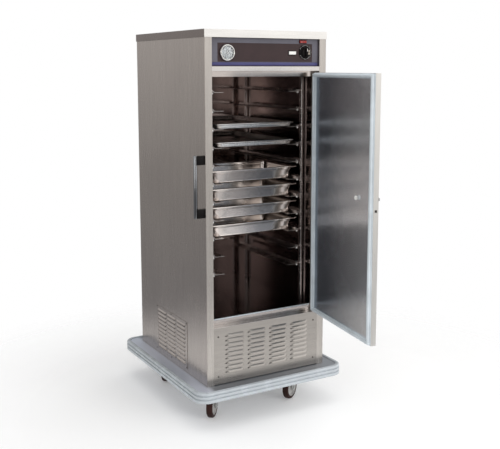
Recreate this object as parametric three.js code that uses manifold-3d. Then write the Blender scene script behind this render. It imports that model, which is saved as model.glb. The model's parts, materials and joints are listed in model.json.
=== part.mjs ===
// Mobile proofing cabinet: an insulated stainless cabinet on a bumpered caster base, with its door
// open, pan slides and pans inside, a control fascia on top and a louvred machine bay below.
// Millimetres. X runs left to right across the front, Y from front to back, Z up.
import * as THREE from 'three';
import { mergeVertices } from 'three/addons/utils/BufferGeometryUtils.js';
import Module from 'manifold-3d';

const wasm = await Module();
wasm.setup();

// ---- Driving dimensions ------------------------------------------------------------------
const GAP = 0.3; // between pieces that touch
const SHEET = 1.5; // folded stainless sheet

const BODY_WIDTH = 680;
const BODY_DEPTH = 815;
const BODY_HEIGHT = 1722; // deck to the top of the cap
const CAP_HEIGHT = 37;
const CAP_OVERHANG = 3;

const DECK_HEIGHT = 202; // floor to the top of the deck
const DECK_PLATE = 4;
const BASE_UNDERSIDE = 157; // floor to the caster mounting rails
const BUMPER_REACH = 83; // body side to the bumper's outer edge
const BUMPER_THICKNESS = 20;
const BUMPER_BOTTOM = 152;
const BUMPER_TOP = 205;
const BUMPER_RADIUS = 65;

const STILE_WIDTH = 38;
const RECESS_DEPTH = 41; // stile face back to the frame face that the gasket seats on
const SILL_HEIGHT = 289; // heights from here on are above the deck
const OPENING_BOTTOM = 316;
const OPENING_TOP = 1502;
const HEADER_BOTTOM = 1529;
const HEADER_TOP = 1551;
const FASCIA_RECESS = 14;

const CHAMBER_HALF_WIDTH = 284;
const CHAMBER_BACK = 768;

const SLIDE_COUNT = 11;
const SLIDE_PITCH = 90;
const TOP_SLIDE_HEIGHT = 1427;
const SLIDE_FRONT = 104;
const SLIDE_BACK = 706;
const SLIDE_INNER = 186; // half the clear width between a pair of ledges
const SLIDE_GUIDE = 237; // half the clear width between their guide flanges
const UPRIGHT_INNER = 268;

const DOOR_WIDTH = 600;
const DOOR_HEIGHT = 1223;
const DOOR_BOTTOM = 298;
const DOOR_THICKNESS = 26;
const GASKET_WIDTH = 22;
const PIN_STANDOFF = 9; // hinge pin to the door's outer face
const PIN_SIDE_GAP = 2.6; // hinge pin to the door's hinge edge
const PIN_FORWARD = 12; // hinge pin in front of the stile face
const DOOR_OPEN_ANGLE = THREE.MathUtils.degToRad(81.8);

const SPINDLE_FROM_FREE_EDGE = 145;
const SPINDLE_HEIGHT = 957;
const BOLT_HEIGHT = 915;
const BOLT_SIZE = 10;
const LEVER_LENGTH = 90; // spindle to the grip's tip
const LEVER_REACH = 42; // door's outer face to the grip's front

const CASTER_X = 238;
const CASTER_FRONT_Y = 125;
const WHEEL_RADIUS = 63.5;
const WHEEL_WIDTH = 32;
const CASTER_TRAIL = 42;
const AXLE_RADIUS = 6;

const HALF_WIDTH = BODY_WIDTH / 2;
const PANEL_TOP = BODY_HEIGHT - CAP_HEIGHT - GAP;
const BAY_HALF_WIDTH = HALF_WIDTH - STILE_WIDTH; // between the stiles

// ---- Materials ---------------------------------------------------------------------------
function finish(color, roughness, metalness = 0) {
  return new THREE.MeshStandardMaterial({ color, roughness, metalness });
}

const steel = () => finish(0x9a9690, 0.32, 1);
const brightSteel = () => finish(0xcfccc6, 0.25, 1);
const linerSteel = () => finish(0x8c8a8c, 0.16, 1);
const darkPlastic = () => finish(0x15130f, 0.45);
const whitePlastic = () => finish(0xe8e8e2, 0.4);
const bumperVinyl = () => finish(0x98a2ab, 0.55);
const gasketVinyl = () => finish(0xb4c2cd, 0.6);
const tyreRubber = () => finish(0x351c17, 0.7);
const fasciaPaint = () => finish(0x4a3a3b, 0.5);
const redLens = () => finish(0xb0231c, 0.3);

// ---- Solid helpers -----------------------------------------------------------------------
function toSolid(geometry) {
  const plain = geometry.clone();
  plain.deleteAttribute('normal');
  plain.deleteAttribute('uv');
  const merged = mergeVertices(plain, 1e-4);
  return new wasm.Manifold(new wasm.Mesh({
    numProp: 3,
    vertProperties: new Float32Array(merged.attributes.position.array),
    triVerts: new Uint32Array(merged.index.array),
  }));
}

function toGeometry(solid) {
  const { vertProperties, triVerts } = solid.getMesh();
  const geometry = new THREE.BufferGeometry();
  geometry.setAttribute('position', new THREE.BufferAttribute(new Float32Array(vertProperties), 3));
  geometry.setIndex(new THREE.BufferAttribute(new Uint32Array(triVerts), 1));
  return geometry;
}

function join(first, ...rest) {
  return toGeometry(rest.reduce((sum, part) => sum.add(toSolid(part)), toSolid(first)));
}

function cut(body, ...tools) {
  return toGeometry(tools.reduce((rest, tool) => rest.subtract(toSolid(tool)), toSolid(body)));
}

// A box between two corners.
function slab([x0, y0, z0], [x1, y1, z1]) {
  const box = new THREE.BoxGeometry(x1 - x0, y1 - y0, z1 - z0);
  return box.translate((x0 + x1) / 2, (y0 + y1) / 2, (z0 + z1) / 2);
}

// A cylinder along Z, X or Y, from one end to the other.
function rodZ(radius, z0, z1, x = 0, y = 0, sides = 24) {
  const rod = new THREE.CylinderGeometry(radius, radius, z1 - z0, sides);
  return rod.rotateX(Math.PI / 2).translate(x, y, (z0 + z1) / 2);
}

function rodX(radius, x0, x1, y = 0, z = 0, sides = 24) {
  const rod = new THREE.CylinderGeometry(radius, radius, x1 - x0, sides);
  return rod.rotateZ(Math.PI / 2).translate((x0 + x1) / 2, y, z);
}

function rodY(radius, y0, y1, x = 0, z = 0, sides = 24) {
  const rod = new THREE.CylinderGeometry(radius, radius, y1 - y0, sides);
  return rod.translate(x, (y0 + y1) / 2, z);
}

const polygon = (points) => new THREE.Shape(points.map(([u, v]) => new THREE.Vector2(u, v)));

function extrude(shape, depth) {
  return new THREE.ExtrudeGeometry(shape, { depth, bevelEnabled: false, curveSegments: 3 });
}

// A section drawn in (x, y), standing from z0 to z1.
const extrudeZ = (shape, z0, z1) => extrude(shape, z1 - z0).translate(0, 0, z0);

// A face drawn in (x, z), reaching from y0 back to y1.
const extrudeY = (shape, y0, y1) => extrude(shape, y1 - y0).rotateX(Math.PI / 2).translate(0, y1, 0);

// A section drawn in (y, z), running from x0 to x1.
function extrudeX(shape, x0, x1) {
  const turn = new THREE.Matrix4().makeBasis(
    new THREE.Vector3(0, 1, 0), new THREE.Vector3(0, 0, 1), new THREE.Vector3(1, 0, 0));
  return extrude(shape, x1 - x0).applyMatrix4(turn).translate(x0, 0, 0);
}

function rectangle(u0, v0, u1, v1) {
  return polygon([[u0, v0], [u1, v0], [u1, v1], [u0, v1]]);
}

// A rectangle with rounded corners about a centre point.
function roundedRectangle(width, depth, radius, u = 0, v = 0) {
  const shape = new THREE.Shape();
  const a = width / 2 - radius;
  const b = depth / 2 - radius;
  shape.absarc(u + a, v - b, radius, -Math.PI / 2, 0);
  shape.absarc(u + a, v + b, radius, 0, Math.PI / 2);
  shape.absarc(u - a, v + b, radius, Math.PI / 2, Math.PI);
  shape.absarc(u - a, v - b, radius, Math.PI, Math.PI * 1.5);
  return shape;
}

function piece(name, geometry, material) {
  const mesh = new THREE.Mesh(geometry, material);
  mesh.name = name;
  return mesh;
}

// ---- Base --------------------------------------------------------------------------------
function baseOutline(inset) {
  return roundedRectangle(
    BODY_WIDTH + 2 * (BUMPER_REACH - inset),
    BODY_DEPTH + 2 * (BUMPER_REACH - inset),
    BUMPER_RADIUS - inset, 0, BODY_DEPTH / 2);
}

// A deck plate with a folded-down rim and two rails across it that carry the casters.
function baseFrame() {
  const inset = BUMPER_THICKNESS + GAP;
  const rimShape = baseOutline(inset);
  rimShape.holes.push(baseOutline(inset + 3));
  const plate = extrudeZ(baseOutline(inset), DECK_HEIGHT - DECK_PLATE, DECK_HEIGHT);
  const rim = extrudeZ(rimShape, BASE_UNDERSIDE, DECK_HEIGHT - 1);
  const rails = [CASTER_FRONT_Y, BODY_DEPTH - CASTER_FRONT_Y].map(
    (y) => slab([-398, y - 60, BASE_UNDERSIDE], [398, y + 60, DECK_HEIGHT - 1]));
  return join(plate, rim, ...rails);
}

function bumper() {
  const shape = baseOutline(0);
  shape.holes.push(baseOutline(BUMPER_THICKNESS));
  return extrudeZ(shape, BUMPER_BOTTOM, BUMPER_TOP);
}

// ---- Casters -----------------------------------------------------------------------------
// The swivel axis is the group's Z axis, and the wheel trails towards -Y.
function casterFork() {
  const legInner = WHEEL_WIDTH / 2 + 3;
  const legOuter = legInner + 4;
  const crown = WHEEL_RADIUS * 2 + 6;
  const raceway = rodZ(30, crown + 5, BASE_UNDERSIDE - GAP, 0, 0, 20);
  const bridge = slab([-legOuter, -42, crown], [legOuter, 27, crown + 7]);
  const legShape = polygon([
    [27, crown + 2], [-42, crown + 2], [-CASTER_TRAIL - 15, WHEEL_RADIUS + 4],
    [-CASTER_TRAIL - 8, WHEEL_RADIUS - 14], [-CASTER_TRAIL + 8, WHEEL_RADIUS - 14],
    [-CASTER_TRAIL + 16, WHEEL_RADIUS + 2], [24, crown - 16],
  ]);
  const axle = rodX(AXLE_RADIUS, -legOuter - 5, legOuter + 5, -CASTER_TRAIL, WHEEL_RADIUS, 16);
  const legs = [extrudeX(legShape, -legOuter, -legInner), extrudeX(legShape, legInner, legOuter)];
  return join(raceway, bridge, ...legs, axle);
}

// Tyre, rim and hub in one turned piece, bored for the axle; its own axis is X.
function casterWheel() {
  const bore = AXLE_RADIUS + GAP;
  const half = WHEEL_WIDTH / 2;
  const profile = [
    [bore, -half], [20, -half], [22, -9], [44, -9], [47, -half + 1], [57, -half + 1],
    [WHEEL_RADIUS, -8], [WHEEL_RADIUS, 8],
    [57, half - 1], [47, half - 1], [44, 9], [22, 9], [20, half], [bore, half], [bore, -half],
  ];
  const wheel = new THREE.LatheGeometry(profile.map(([r, along]) => new THREE.Vector2(r, along)), 18);
  return wheel.rotateZ(-Math.PI / 2);
}

function caster(place, x, y, headingDegrees) {
  const group = new THREE.Group();
  group.position.set(x, y, 0);
  group.rotation.z = -THREE.MathUtils.degToRad(headingDegrees);
  group.add(piece(`caster_fork_${place}`, casterFork(), steel()));
  const wheel = piece(`caster_wheel_${place}`, casterWheel(), tyreRubber());
  wheel.position.set(0, -CASTER_TRAIL, WHEEL_RADIUS);
  group.add(wheel);
  return group;
}

// ---- Body shell --------------------------------------------------------------------------
const VENT = { front: 221, back: 603, bottom: 20, top: 268 };

function sidePanel(side) {
  const face = rectangle(0, GAP, BODY_DEPTH - SHEET - GAP, PANEL_TOP);
  if (side < 0) {
    face.holes.push(rectangle(VENT.front + 14, VENT.bottom + 10, VENT.back - 14, VENT.top - 12));
  }
  const x = side * HALF_WIDTH;
  return extrudeX(face, Math.min(x, x - side * SHEET), Math.max(x, x - side * SHEET));
}

function backPanel() {
  return slab([-HALF_WIDTH, BODY_DEPTH - SHEET, GAP], [HALF_WIDTH, BODY_DEPTH, PANEL_TOP]);
}

// A folded lid with its rim turned down all round.
function topCap() {
  const side = HALF_WIDTH + CAP_OVERHANG;
  const bottom = BODY_HEIGHT - CAP_HEIGHT;
  const lid = slab([-side, -CAP_OVERHANG, bottom], [side, BODY_DEPTH + CAP_OVERHANG, BODY_HEIGHT]);
  const hollow = slab(
    [-side + SHEET, -CAP_OVERHANG + SHEET, bottom - 1],
    [side - SHEET, BODY_DEPTH + CAP_OVERHANG - SHEET, BODY_HEIGHT - SHEET]);
  return cut(lid, hollow);
}

// A channel with its face to the front; the one on the latch side is pierced for the bolt.
function stile(side) {
  const outer = HALF_WIDTH - SHEET - GAP;
  const inner = BAY_HALF_WIDTH;
  const back = RECESS_DEPTH - GAP;
  const section = [
    [inner, 0], [outer, 0], [outer, 30], [outer - SHEET, 30], [outer - SHEET, SHEET],
    [inner + SHEET, SHEET], [inner + SHEET, back], [inner, back],
  ].map(([x, y]) => [side * x, y]);
  const channel = extrudeZ(polygon(section), GAP, PANEL_TOP);
  if (side > 0) return channel;
  return cut(channel, slab(
    [-inner - 3, 2.5, BOLT_HEIGHT - 8], [-inner + 1, 17.5, BOLT_HEIGHT + 8]));
}

function headerRail() {
  const back = RECESS_DEPTH - GAP;
  const low = HEADER_BOTTOM + GAP;
  const high = HEADER_TOP - GAP;
  const section = polygon([
    [0, low], [back, low], [back, low + SHEET], [SHEET, low + SHEET],
    [SHEET, high - SHEET], [back, high - SHEET], [back, high], [0, high],
  ]);
  return extrudeX(section, -BAY_HALF_WIDTH + GAP, BAY_HALF_WIDTH - GAP);
}

// The ledge under the door, with a lip turned down behind the louvre panel.
function doorSill() {
  const back = RECESS_DEPTH - GAP;
  const underside = SILL_HEIGHT - SHEET;
  const lipBottom = SILL_HEIGHT - 16;
  const lip = 2;
  const section = polygon([
    [0, underside], [lip, underside], [lip, lipBottom], [lip + SHEET, lipBottom], [lip + SHEET, underside],
    [back, underside], [back, SILL_HEIGHT], [0, SILL_HEIGHT],
  ]);
  return extrudeX(section, -BAY_HALF_WIDTH + GAP, BAY_HALF_WIDTH - GAP);
}

// ---- Chamber lining ----------------------------------------------------------------------
const FLANGE_BOTTOM = SILL_HEIGHT + GAP;
const FLANGE_TOP = HEADER_BOTTOM - GAP;

// A side wall with its front edge turned outwards as the face that the gasket seats on. The one
// on the latch side is also the air duct's wall, so it has slots near the floor.
function linerSide(side) {
  const inner = CHAMBER_HALF_WIDTH;
  const outer = BAY_HALF_WIDTH - GAP;
  const back = CHAMBER_BACK - GAP;
  const section = [
    [inner, RECESS_DEPTH], [outer, RECESS_DEPTH], [outer, RECESS_DEPTH + SHEET],
    [inner + SHEET, RECESS_DEPTH + SHEET], [inner + SHEET, back], [inner, back],
  ].map(([x, y]) => [side * x, y]);
  const wall = extrudeZ(polygon(section), FLANGE_BOTTOM, FLANGE_TOP);
  if (side > 0) return wall;
  const slots = [0, 1, 2, 3].map((row) => slab(
    [-inner - 3, 300, 350 + 30 * row], [-inner + 1, 560, 362 + 30 * row]));
  return cut(wall, ...slots);
}

function linerBack() {
  const side = BAY_HALF_WIDTH;
  return slab([-side, CHAMBER_BACK, FLANGE_BOTTOM], [side, CHAMBER_BACK + SHEET, FLANGE_TOP]);
}

// The ceiling or the floor, with its front edge turned away from the chamber.
function linerPlate(inside, outside, flangeEnd) {
  const front = RECESS_DEPTH;
  const section = polygon([
    [front, inside], [front, flangeEnd], [front + SHEET, flangeEnd], [front + SHEET, outside],
    [CHAMBER_BACK - GAP, outside], [CHAMBER_BACK - GAP, inside],
  ]);
  return extrudeX(section, -CHAMBER_HALF_WIDTH + GAP, CHAMBER_HALF_WIDTH - GAP);
}

// Two uprights with eleven angle ledges. Each ledge has a guide flange, and stands off the
// uprights on a short block at each end.
function slideRack(side) {
  const place = (x0, x1) => [Math.min(side * x0, side * x1), Math.max(side * x0, side * x1)];
  const parts = [];
  const uprightFronts = [108, 686];
  const [upright0, upright1] = place(UPRIGHT_INNER, UPRIGHT_INNER + 12);
  for (const y of uprightFronts) {
    parts.push(slab([upright0, y, OPENING_BOTTOM + GAP], [upright1, y + 20, OPENING_TOP - GAP]));
  }
  for (let level = 0; level < SLIDE_COUNT; level += 1) {
    const top = TOP_SLIDE_HEIGHT - level * SLIDE_PITCH;
    const section = [
      [SLIDE_INNER, top], [SLIDE_GUIDE, top], [SLIDE_GUIDE, top + 12], [SLIDE_GUIDE + SHEET, top + 12],
      [SLIDE_GUIDE + SHEET, top - SHEET], [SLIDE_INNER, top - SHEET],
    ].map(([x, z]) => [side * x, z]);
    parts.push(extrudeY(polygon(section), SLIDE_FRONT, SLIDE_BACK));
    const [block0, block1] = place(SLIDE_GUIDE + SHEET / 2, UPRIGHT_INNER + 1);
    for (const y of uprightFronts) {
      parts.push(slab([block0, y + 2, top - 1], [block1, y + 18, top + 9]));
    }
  }
  return join(...parts);
}

// ---- Pans --------------------------------------------------------------------------------
// An open pan with a rim turned outwards at the top.
function pan({ width, length, height, bodyWidth, bodyLength, wall, corner }) {
  const rim = extrudeZ(roundedRectangle(width, length, corner + 4), height - wall, height);
  const body = extrudeZ(roundedRectangle(bodyWidth, bodyLength, corner), 0, height - wall / 2);
  const inside = extrudeZ(
    roundedRectangle(bodyWidth - 2 * wall, bodyLength - 2 * wall, corner - wall), wall, height + 1);
  return cut(join(rim, body), inside);
}

const SHEET_PAN = {
  width: 457, length: 660, height: 25, bodyWidth: 440, bodyLength: 643, wall: 1.5, corner: 12, front: 105,
};
// Laid across the ledges, with its long side to the front.
const DEEP_PAN = {
  width: 530, length: 325, height: 65, bodyWidth: 468, bodyLength: 289, wall: 1.2, corner: 30, front: 115,
};

function pans() {
  const group = new THREE.Group();
  const load = (name, size, level) => {
    const mesh = piece(name, pan(size), brightSteel());
    const middle = size.front + size.length / 2;
    mesh.position.set(0, middle, TOP_SLIDE_HEIGHT - level * SLIDE_PITCH + GAP);
    group.add(mesh);
  };
  load('sheet_pan_upper', SHEET_PAN, 2);
  load('sheet_pan_lower', SHEET_PAN, 3);
  for (let number = 1; number <= 4; number += 1) load(`deep_pan_${number}`, DEEP_PAN, 4 + number);
  return group;
}

// ---- Machine bay -------------------------------------------------------------------------
function louvrePanel() {
  const side = BAY_HALF_WIDTH - GAP;
  const plate = slab([-side, 0, 4], [side, SHEET, SILL_HEIGHT - SHEET - GAP]);
  const slots = [];
  for (let column = 0; column < 4; column += 1) {
    for (let row = 0; row < 9; row += 1) {
      const x = -HALF_WIDTH + 101 + 126 * column;
      const z = 55 + 23 * row;
      slots.push(slab([x, -1, z], [x + 101, SHEET + 1, z + 6]));
    }
  }
  return cut(plate, ...slots);
}

// A slotted plate on the outside of the left panel.
function sideVent() {
  const inner = -HALF_WIDTH - GAP;
  const plate = slab([inner - SHEET, VENT.front, VENT.bottom], [inner, VENT.back, VENT.top]);
  const slots = [];
  for (let column = 0; column < 3; column += 1) {
    for (let row = 0; row < 10; row += 1) {
      const y = 243 + 118 * column;
      const z = 38 + 22 * row;
      slots.push(slab([inner - SHEET - 1, y, z], [inner + 1, y + 102, z + 7]));
    }
  }
  return cut(plate, ...slots);
}

const BLOWER = { x: 130, y: 470, base: 30, radius: 110, height: 90 };

// A drum on a foot, open on top as the air intake and at one side as the outlet.
function blowerHousing() {
  const { x, y, base, radius, height } = BLOWER;
  const foot = slab([x - 40, y - 40, GAP], [x + 40, y + 40, base + 1]);
  const drum = rodZ(radius, base, base + height, x, y, 20);
  const inside = rodZ(radius - 3, base + 3, base + height + 1, x, y, 20);
  const outlet = slab([x - radius - 5, y - 30, base + 20], [x - radius + 25, y + 30, base + height - 15]);
  const motor = rodZ(32, base + 2, base + 18, x, y, 16);
  return join(cut(join(foot, drum), inside, outlet), motor);
}

// Twelve straight blades on a back plate and hub, about its own Z axis.
function blowerWheel() {
  const plate = rodZ(92, 0, 3, 0, 0, 24);
  const hub = rodZ(20, 1, 30, 0, 0, 12);
  const blades = Array.from({ length: 12 }, (_, index) => {
    const blade = slab([58, -1.5, 1], [90, 1.5, 58]);
    return blade.rotateZ((index * Math.PI) / 6);
  });
  return join(plate, hub, ...blades);
}

// A sheathed element bent in a hairpin over the water pan.
function heaterElement() {
  const path = new THREE.CurvePath();
  const at = (x, y) => new THREE.Vector3(x, y, 88);
  const [left, centre, right] = [-235, -175, -115];
  const [end, bend, tip] = [620, 360, 300];
  path.add(new THREE.LineCurve3(at(left, end), at(left, bend)));
  path.add(new THREE.QuadraticBezierCurve3(at(left, bend), at(left, tip), at(centre, tip)));
  path.add(new THREE.QuadraticBezierCurve3(at(centre, tip), at(right, tip), at(right, bend)));
  path.add(new THREE.LineCurve3(at(right, bend), at(right, end)));
  const section = new THREE.Shape().absarc(0, 0, 6, 0, Math.PI * 2);
  const tube = new THREE.ExtrudeGeometry(section, { steps: 20, curveSegments: 4, extrudePath: path });
  const terminals = slab([-250, 612, 70], [-100, 650, 106]);
  return join(tube, terminals);
}

function waterPan() {
  const tray = slab([-270, 280, 4], [-80, 600, 60]);
  return cut(tray, slab([-268, 282, 6], [-82, 598, 61]));
}

// A flanged inlet with a recess for a connector and three pins standing in it.
function powerInlet() {
  const y = BODY_DEPTH + GAP;
  const flange = slab([-236, y, 95], [-164, y + 4, 151]);
  const barrel = slab([-225, y, 103], [-175, y + 26, 143]);
  const recess = slab([-219, y + 5, 109], [-181, y + 27, 137]);
  const pins = [[-210, 117], [-200, 129], [-190, 117]].map(([x, z]) => rodY(2.5, y + 2, y + 20, x, z, 10));
  return join(cut(join(flange, barrel), recess), ...pins);
}

// ---- Control fascia ----------------------------------------------------------------------
const THERMOMETER = { x: -216, z: 1615, radius: 39 };
const THERMOSTAT = { x: 223, z: 1620, radius: 36 };
const ROCKER = { x: 148, z: 1616, width: 39, height: 15 };
const LAMP = { x: 210, z: 1671, width: 41, height: 14 };

function controlFascia() {
  const face = rectangle(-BAY_HALF_WIDTH + GAP, HEADER_TOP, BAY_HALF_WIDTH - GAP, PANEL_TOP);
  const { x, z, width, height } = ROCKER;
  const halfWidth = width / 2 + 1;
  const halfHeight = height / 2 + 1;
  face.holes.push(rectangle(x - halfWidth, z - halfHeight, x + halfWidth, z + halfHeight));
  return extrudeY(face, FASCIA_RECESS, FASCIA_RECESS + 2);
}

// A shallow cup with a rolled bezel; the dial is its floor. Turned about Y, open to the front.
function thermometerCase() {
  const { radius } = THERMOMETER;
  const profile = [
    [0, 0], [radius - 3, 0], [radius, 2], [radius, 9], [radius - 2, 12], [radius - 6, 12],
    [radius - 7, 10], [radius - 7, 3], [0, 3],
  ];
  const cup = new THREE.LatheGeometry(profile.map(([r, along]) => new THREE.Vector2(r, along)), 24);
  return cup.rotateX(Math.PI);
}

function thermometerNeedle() {
  const blade = polygon([[-1.6, -9], [1.6, -9], [1.2, 20], [0, 28], [-1.2, 20]]);
  return join(extrudeY(blade, -6.2, -5), rodY(4, -7.5, -3.5, 0, 0, 16));
}

// A skirted knob with a grip bar across it.
function thermostatKnob() {
  const { radius } = THERMOSTAT;
  const profile = [[0, 0], [radius, 0], [radius, 3], [radius - 4, 5], [24, 6], [22, 14], [0, 14]];
  const skirt = new THREE.LatheGeometry(profile.map(([r, along]) => new THREE.Vector2(r, along)), 24);
  return join(skirt.rotateX(Math.PI), slab([-6, -24, -20], [6, -12, 20]));
}

// A rocker with a shallow V face; its pivot is the group's origin, behind the fascia.
function powerRocker() {
  const half = ROCKER.width / 2;
  const section = polygon([[-half, -7], [0, -5], [half, -7], [half - 6, 5], [-half + 6, 5]]);
  return extrudeZ(section, -ROCKER.height / 2, ROCKER.height / 2);
}

function pilotLamp() {
  return slab([-LAMP.width / 2, -7, -LAMP.height / 2], [LAMP.width / 2, 0, LAMP.height / 2]);
}

function controls() {
  const group = new THREE.Group();
  const front = FASCIA_RECESS - GAP;
  group.add(piece('control_fascia', controlFascia(), fasciaPaint()));
  const place = (mesh, { x, z }, y = front) => {
    mesh.position.set(x, y, z);
    group.add(mesh);
    return mesh;
  };
  place(piece('thermometer_case', thermometerCase(), brightSteel()), THERMOMETER);
  const needle = place(piece('thermometer_needle', thermometerNeedle(), darkPlastic()), THERMOMETER);
  needle.rotation.y = THREE.MathUtils.degToRad(-135);
  place(piece('thermostat_knob', thermostatKnob(), darkPlastic()), THERMOSTAT);
  const rocker = place(piece('power_rocker', powerRocker(), whitePlastic()), ROCKER, FASCIA_RECESS + 1);
  rocker.rotation.z = THREE.MathUtils.degToRad(-4);
  place(piece('pilot_lamp', pilotLamp(), redLens()), LAMP);
  return group;
}

// ---- Push handles ------------------------------------------------------------------------
const HANDLE = { bottom: 836, top: 1136, y: 21, reach: 43, radius: 9.5, bracketHeight: 42 };

function handleBar(side) {
  return rodZ(HANDLE.radius, HANDLE.bottom, HANDLE.top, side * (HALF_WIDTH + HANDLE.reach), HANDLE.y, 20);
}

// A block between the panel and the bar, hollowed to seat the bar.
function handleBracket(side, bottom) {
  const { y, reach, radius, bracketHeight } = HANDLE;
  const near = side * (HALF_WIDTH + GAP);
  const far = side * (HALF_WIDTH + reach);
  const top = bottom + bracketHeight;
  const block = slab([Math.min(near, far), y - 15, bottom], [Math.max(near, far), y + 15, top]);
  return cut(block, rodZ(radius + GAP, bottom - 1, top + 1, far, y, 20));
}

function handles() {
  const group = new THREE.Group();
  for (const [place, side] of [['left', -1], ['right', 1]]) {
    group.add(piece(`handle_bar_${place}`, handleBar(side), brightSteel()));
    const lower = HANDLE.bottom + 2;
    const upper = HANDLE.top - HANDLE.bracketHeight - 2;
    group.add(piece(`handle_bracket_${place}_lower`, handleBracket(side, lower), darkPlastic()));
    group.add(piece(`handle_bracket_${place}_upper`, handleBracket(side, upper), darkPlastic()));
  }
  return group;
}

// ---- Door --------------------------------------------------------------------------------
// Drawn closed, with the hinge pin as its Z axis; the free edge is towards -X.
const FREE_EDGE = -PIN_SIDE_GAP - DOOR_WIDTH;
const SPINDLE_X = FREE_EDGE + SPINDLE_FROM_FREE_EDGE;
const DOOR_TOP = DOOR_BOTTOM + DOOR_HEIGHT;
const DOOR_INNER_FACE = PIN_STANDOFF + DOOR_THICKNESS;
const BOLT_Y = PIN_STANDOFF + DOOR_THICKNESS / 2;
const HINGE_HEIGHTS = [DOOR_BOTTOM + 130, DOOR_TOP - 190];
const HINGE_LENGTH = 60;

// The outer skin with its four edges folded back, pierced for the spindle and the bolt.
function doorShell() {
  const skin = slab([FREE_EDGE, PIN_STANDOFF, DOOR_BOTTOM], [-PIN_SIDE_GAP, DOOR_INNER_FACE, DOOR_TOP]);
  const hollow = slab(
    [FREE_EDGE + SHEET, PIN_STANDOFF + SHEET, DOOR_BOTTOM + SHEET],
    [-PIN_SIDE_GAP - SHEET, DOOR_INNER_FACE + 1, DOOR_TOP - SHEET]);
  const spindleHole = rodY(7, PIN_STANDOFF - 1, PIN_STANDOFF + 3, SPINDLE_X, SPINDLE_HEIGHT, 20);
  const reach = BOLT_SIZE / 2 + 0.8;
  const boltHole = slab(
    [FREE_EDGE - 1, BOLT_Y - reach, BOLT_HEIGHT - reach],
    [FREE_EDGE + 3, BOLT_Y + reach, BOLT_HEIGHT + reach]);
  return cut(skin, hollow, spindleHole, boltHole);
}

function doorLiner() {
  const inset = SHEET + GAP;
  const face = rectangle(FREE_EDGE + inset, DOOR_BOTTOM + inset, -PIN_SIDE_GAP - inset, DOOR_TOP - inset);
  face.holes.push(new THREE.Path().absarc(SPINDLE_X, SPINDLE_HEIGHT, 7, 0, Math.PI * 2));
  return extrudeY(face, DOOR_INNER_FACE - SHEET, DOOR_INNER_FACE);
}

// A moulded seal round the edge of the inner face.
function doorGasket() {
  const frame = (inset) => rectangle(
    FREE_EDGE + inset, DOOR_BOTTOM + inset, -PIN_SIDE_GAP - inset, DOOR_TOP - inset);
  const ring = frame(1);
  ring.holes.push(frame(1 + GASKET_WIDTH));
  const seat = PIN_FORWARD + RECESS_DEPTH - GAP;
  return extrudeY(ring, DOOR_INNER_FACE + GAP, seat);
}

// A lever on its spindle, about its own Y axis; the grip points to the door's free edge.
function latchLever() {
  const face = PIN_STANDOFF;
  const rose = rodY(20, face - 8, face - GAP, 0, 0, 20);
  const neck = rodY(9, face - 34, face - 6, 0, 0, 16);
  const grip = slab([-LEVER_LENGTH, face - LEVER_REACH, -9], [9, face - LEVER_REACH + 11, 9]);
  const spindle = rodY(5, face - 10, DOOR_INNER_FACE + 1, 0, 0, 12);
  return join(rose, neck, grip, spindle);
}

function releaseKnob() {
  const start = DOOR_INNER_FACE + 1 + GAP;
  const profile = [[0, 0], [8, 0], [8, 2], [11, 4], [11, 8], [8, 10], [0, 10]];
  const knob = new THREE.LatheGeometry(profile.map(([r, along]) => new THREE.Vector2(r, along)), 16);
  return knob.translate(0, start, 0);
}

// A square bolt that lies in the free edge, drawn back just inside it.
function latchBolt() {
  const half = BOLT_SIZE / 2;
  return slab(
    [FREE_EDGE + 1, BOLT_Y - half, BOLT_HEIGHT - half],
    [FREE_EDGE + 120, BOLT_Y + half, BOLT_HEIGHT + half]);
}

// The cabinet's half of a hinge: a leaf on the stile and the lower knuckle, bored for the pin.
function hingeFrameLeaf(height) {
  const knuckle = rodZ(7, height, height + HINGE_LENGTH / 2 - GAP, 0, 0, 16);
  const stileFace = PIN_FORWARD - GAP;
  const leaf = slab([3, stileFace - 2, height], [32, stileFace, height + HINGE_LENGTH / 2 - GAP]);
  const web = slab([1, 3, height], [7, stileFace - 1, height + HINGE_LENGTH / 2 - GAP]);
  return cut(join(knuckle, leaf, web), rodZ(3 + GAP, height - 1, height + HINGE_LENGTH, 0, 0, 16));
}

// The door's half: a leaf on the outer skin, the upper knuckle and the pin.
function hingeDoorLeaf(height) {
  const low = height + HINGE_LENGTH / 2 + GAP;
  const high = height + HINGE_LENGTH;
  const face = PIN_STANDOFF - GAP;
  const knuckle = rodZ(7, low, high, 0, 0, 16);
  const leaf = slab([-42, face - 2, low], [-2, face, high]);
  const web = slab([-7, 2, low], [0, face - 1, high]);
  return join(knuckle, leaf, web, rodZ(3, height + 2, high, 0, 0, 12));
}

function door() {
  const group = new THREE.Group();
  group.position.set(BAY_HALF_WIDTH + 0.6, -PIN_FORWARD, 0);
  group.rotation.z = DOOR_OPEN_ANGLE;
  group.add(piece('door_shell', doorShell(), steel()));
  group.add(piece('door_liner', doorLiner(), linerSteel()));
  group.add(piece('door_gasket', doorGasket(), gasketVinyl()));
  const latch = new THREE.Group();
  latch.position.set(SPINDLE_X, 0, SPINDLE_HEIGHT);
  latch.add(piece('latch_lever', latchLever(), brightSteel()));
  latch.add(piece('release_knob', releaseKnob(), whitePlastic()));
  group.add(latch);
  group.add(piece('latch_bolt', latchBolt(), brightSteel()));
  group.add(piece('hinge_door_leaf_lower', hingeDoorLeaf(HINGE_HEIGHTS[0]), steel()));
  group.add(piece('hinge_door_leaf_upper', hingeDoorLeaf(HINGE_HEIGHTS[1]), steel()));
  return group;
}

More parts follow.
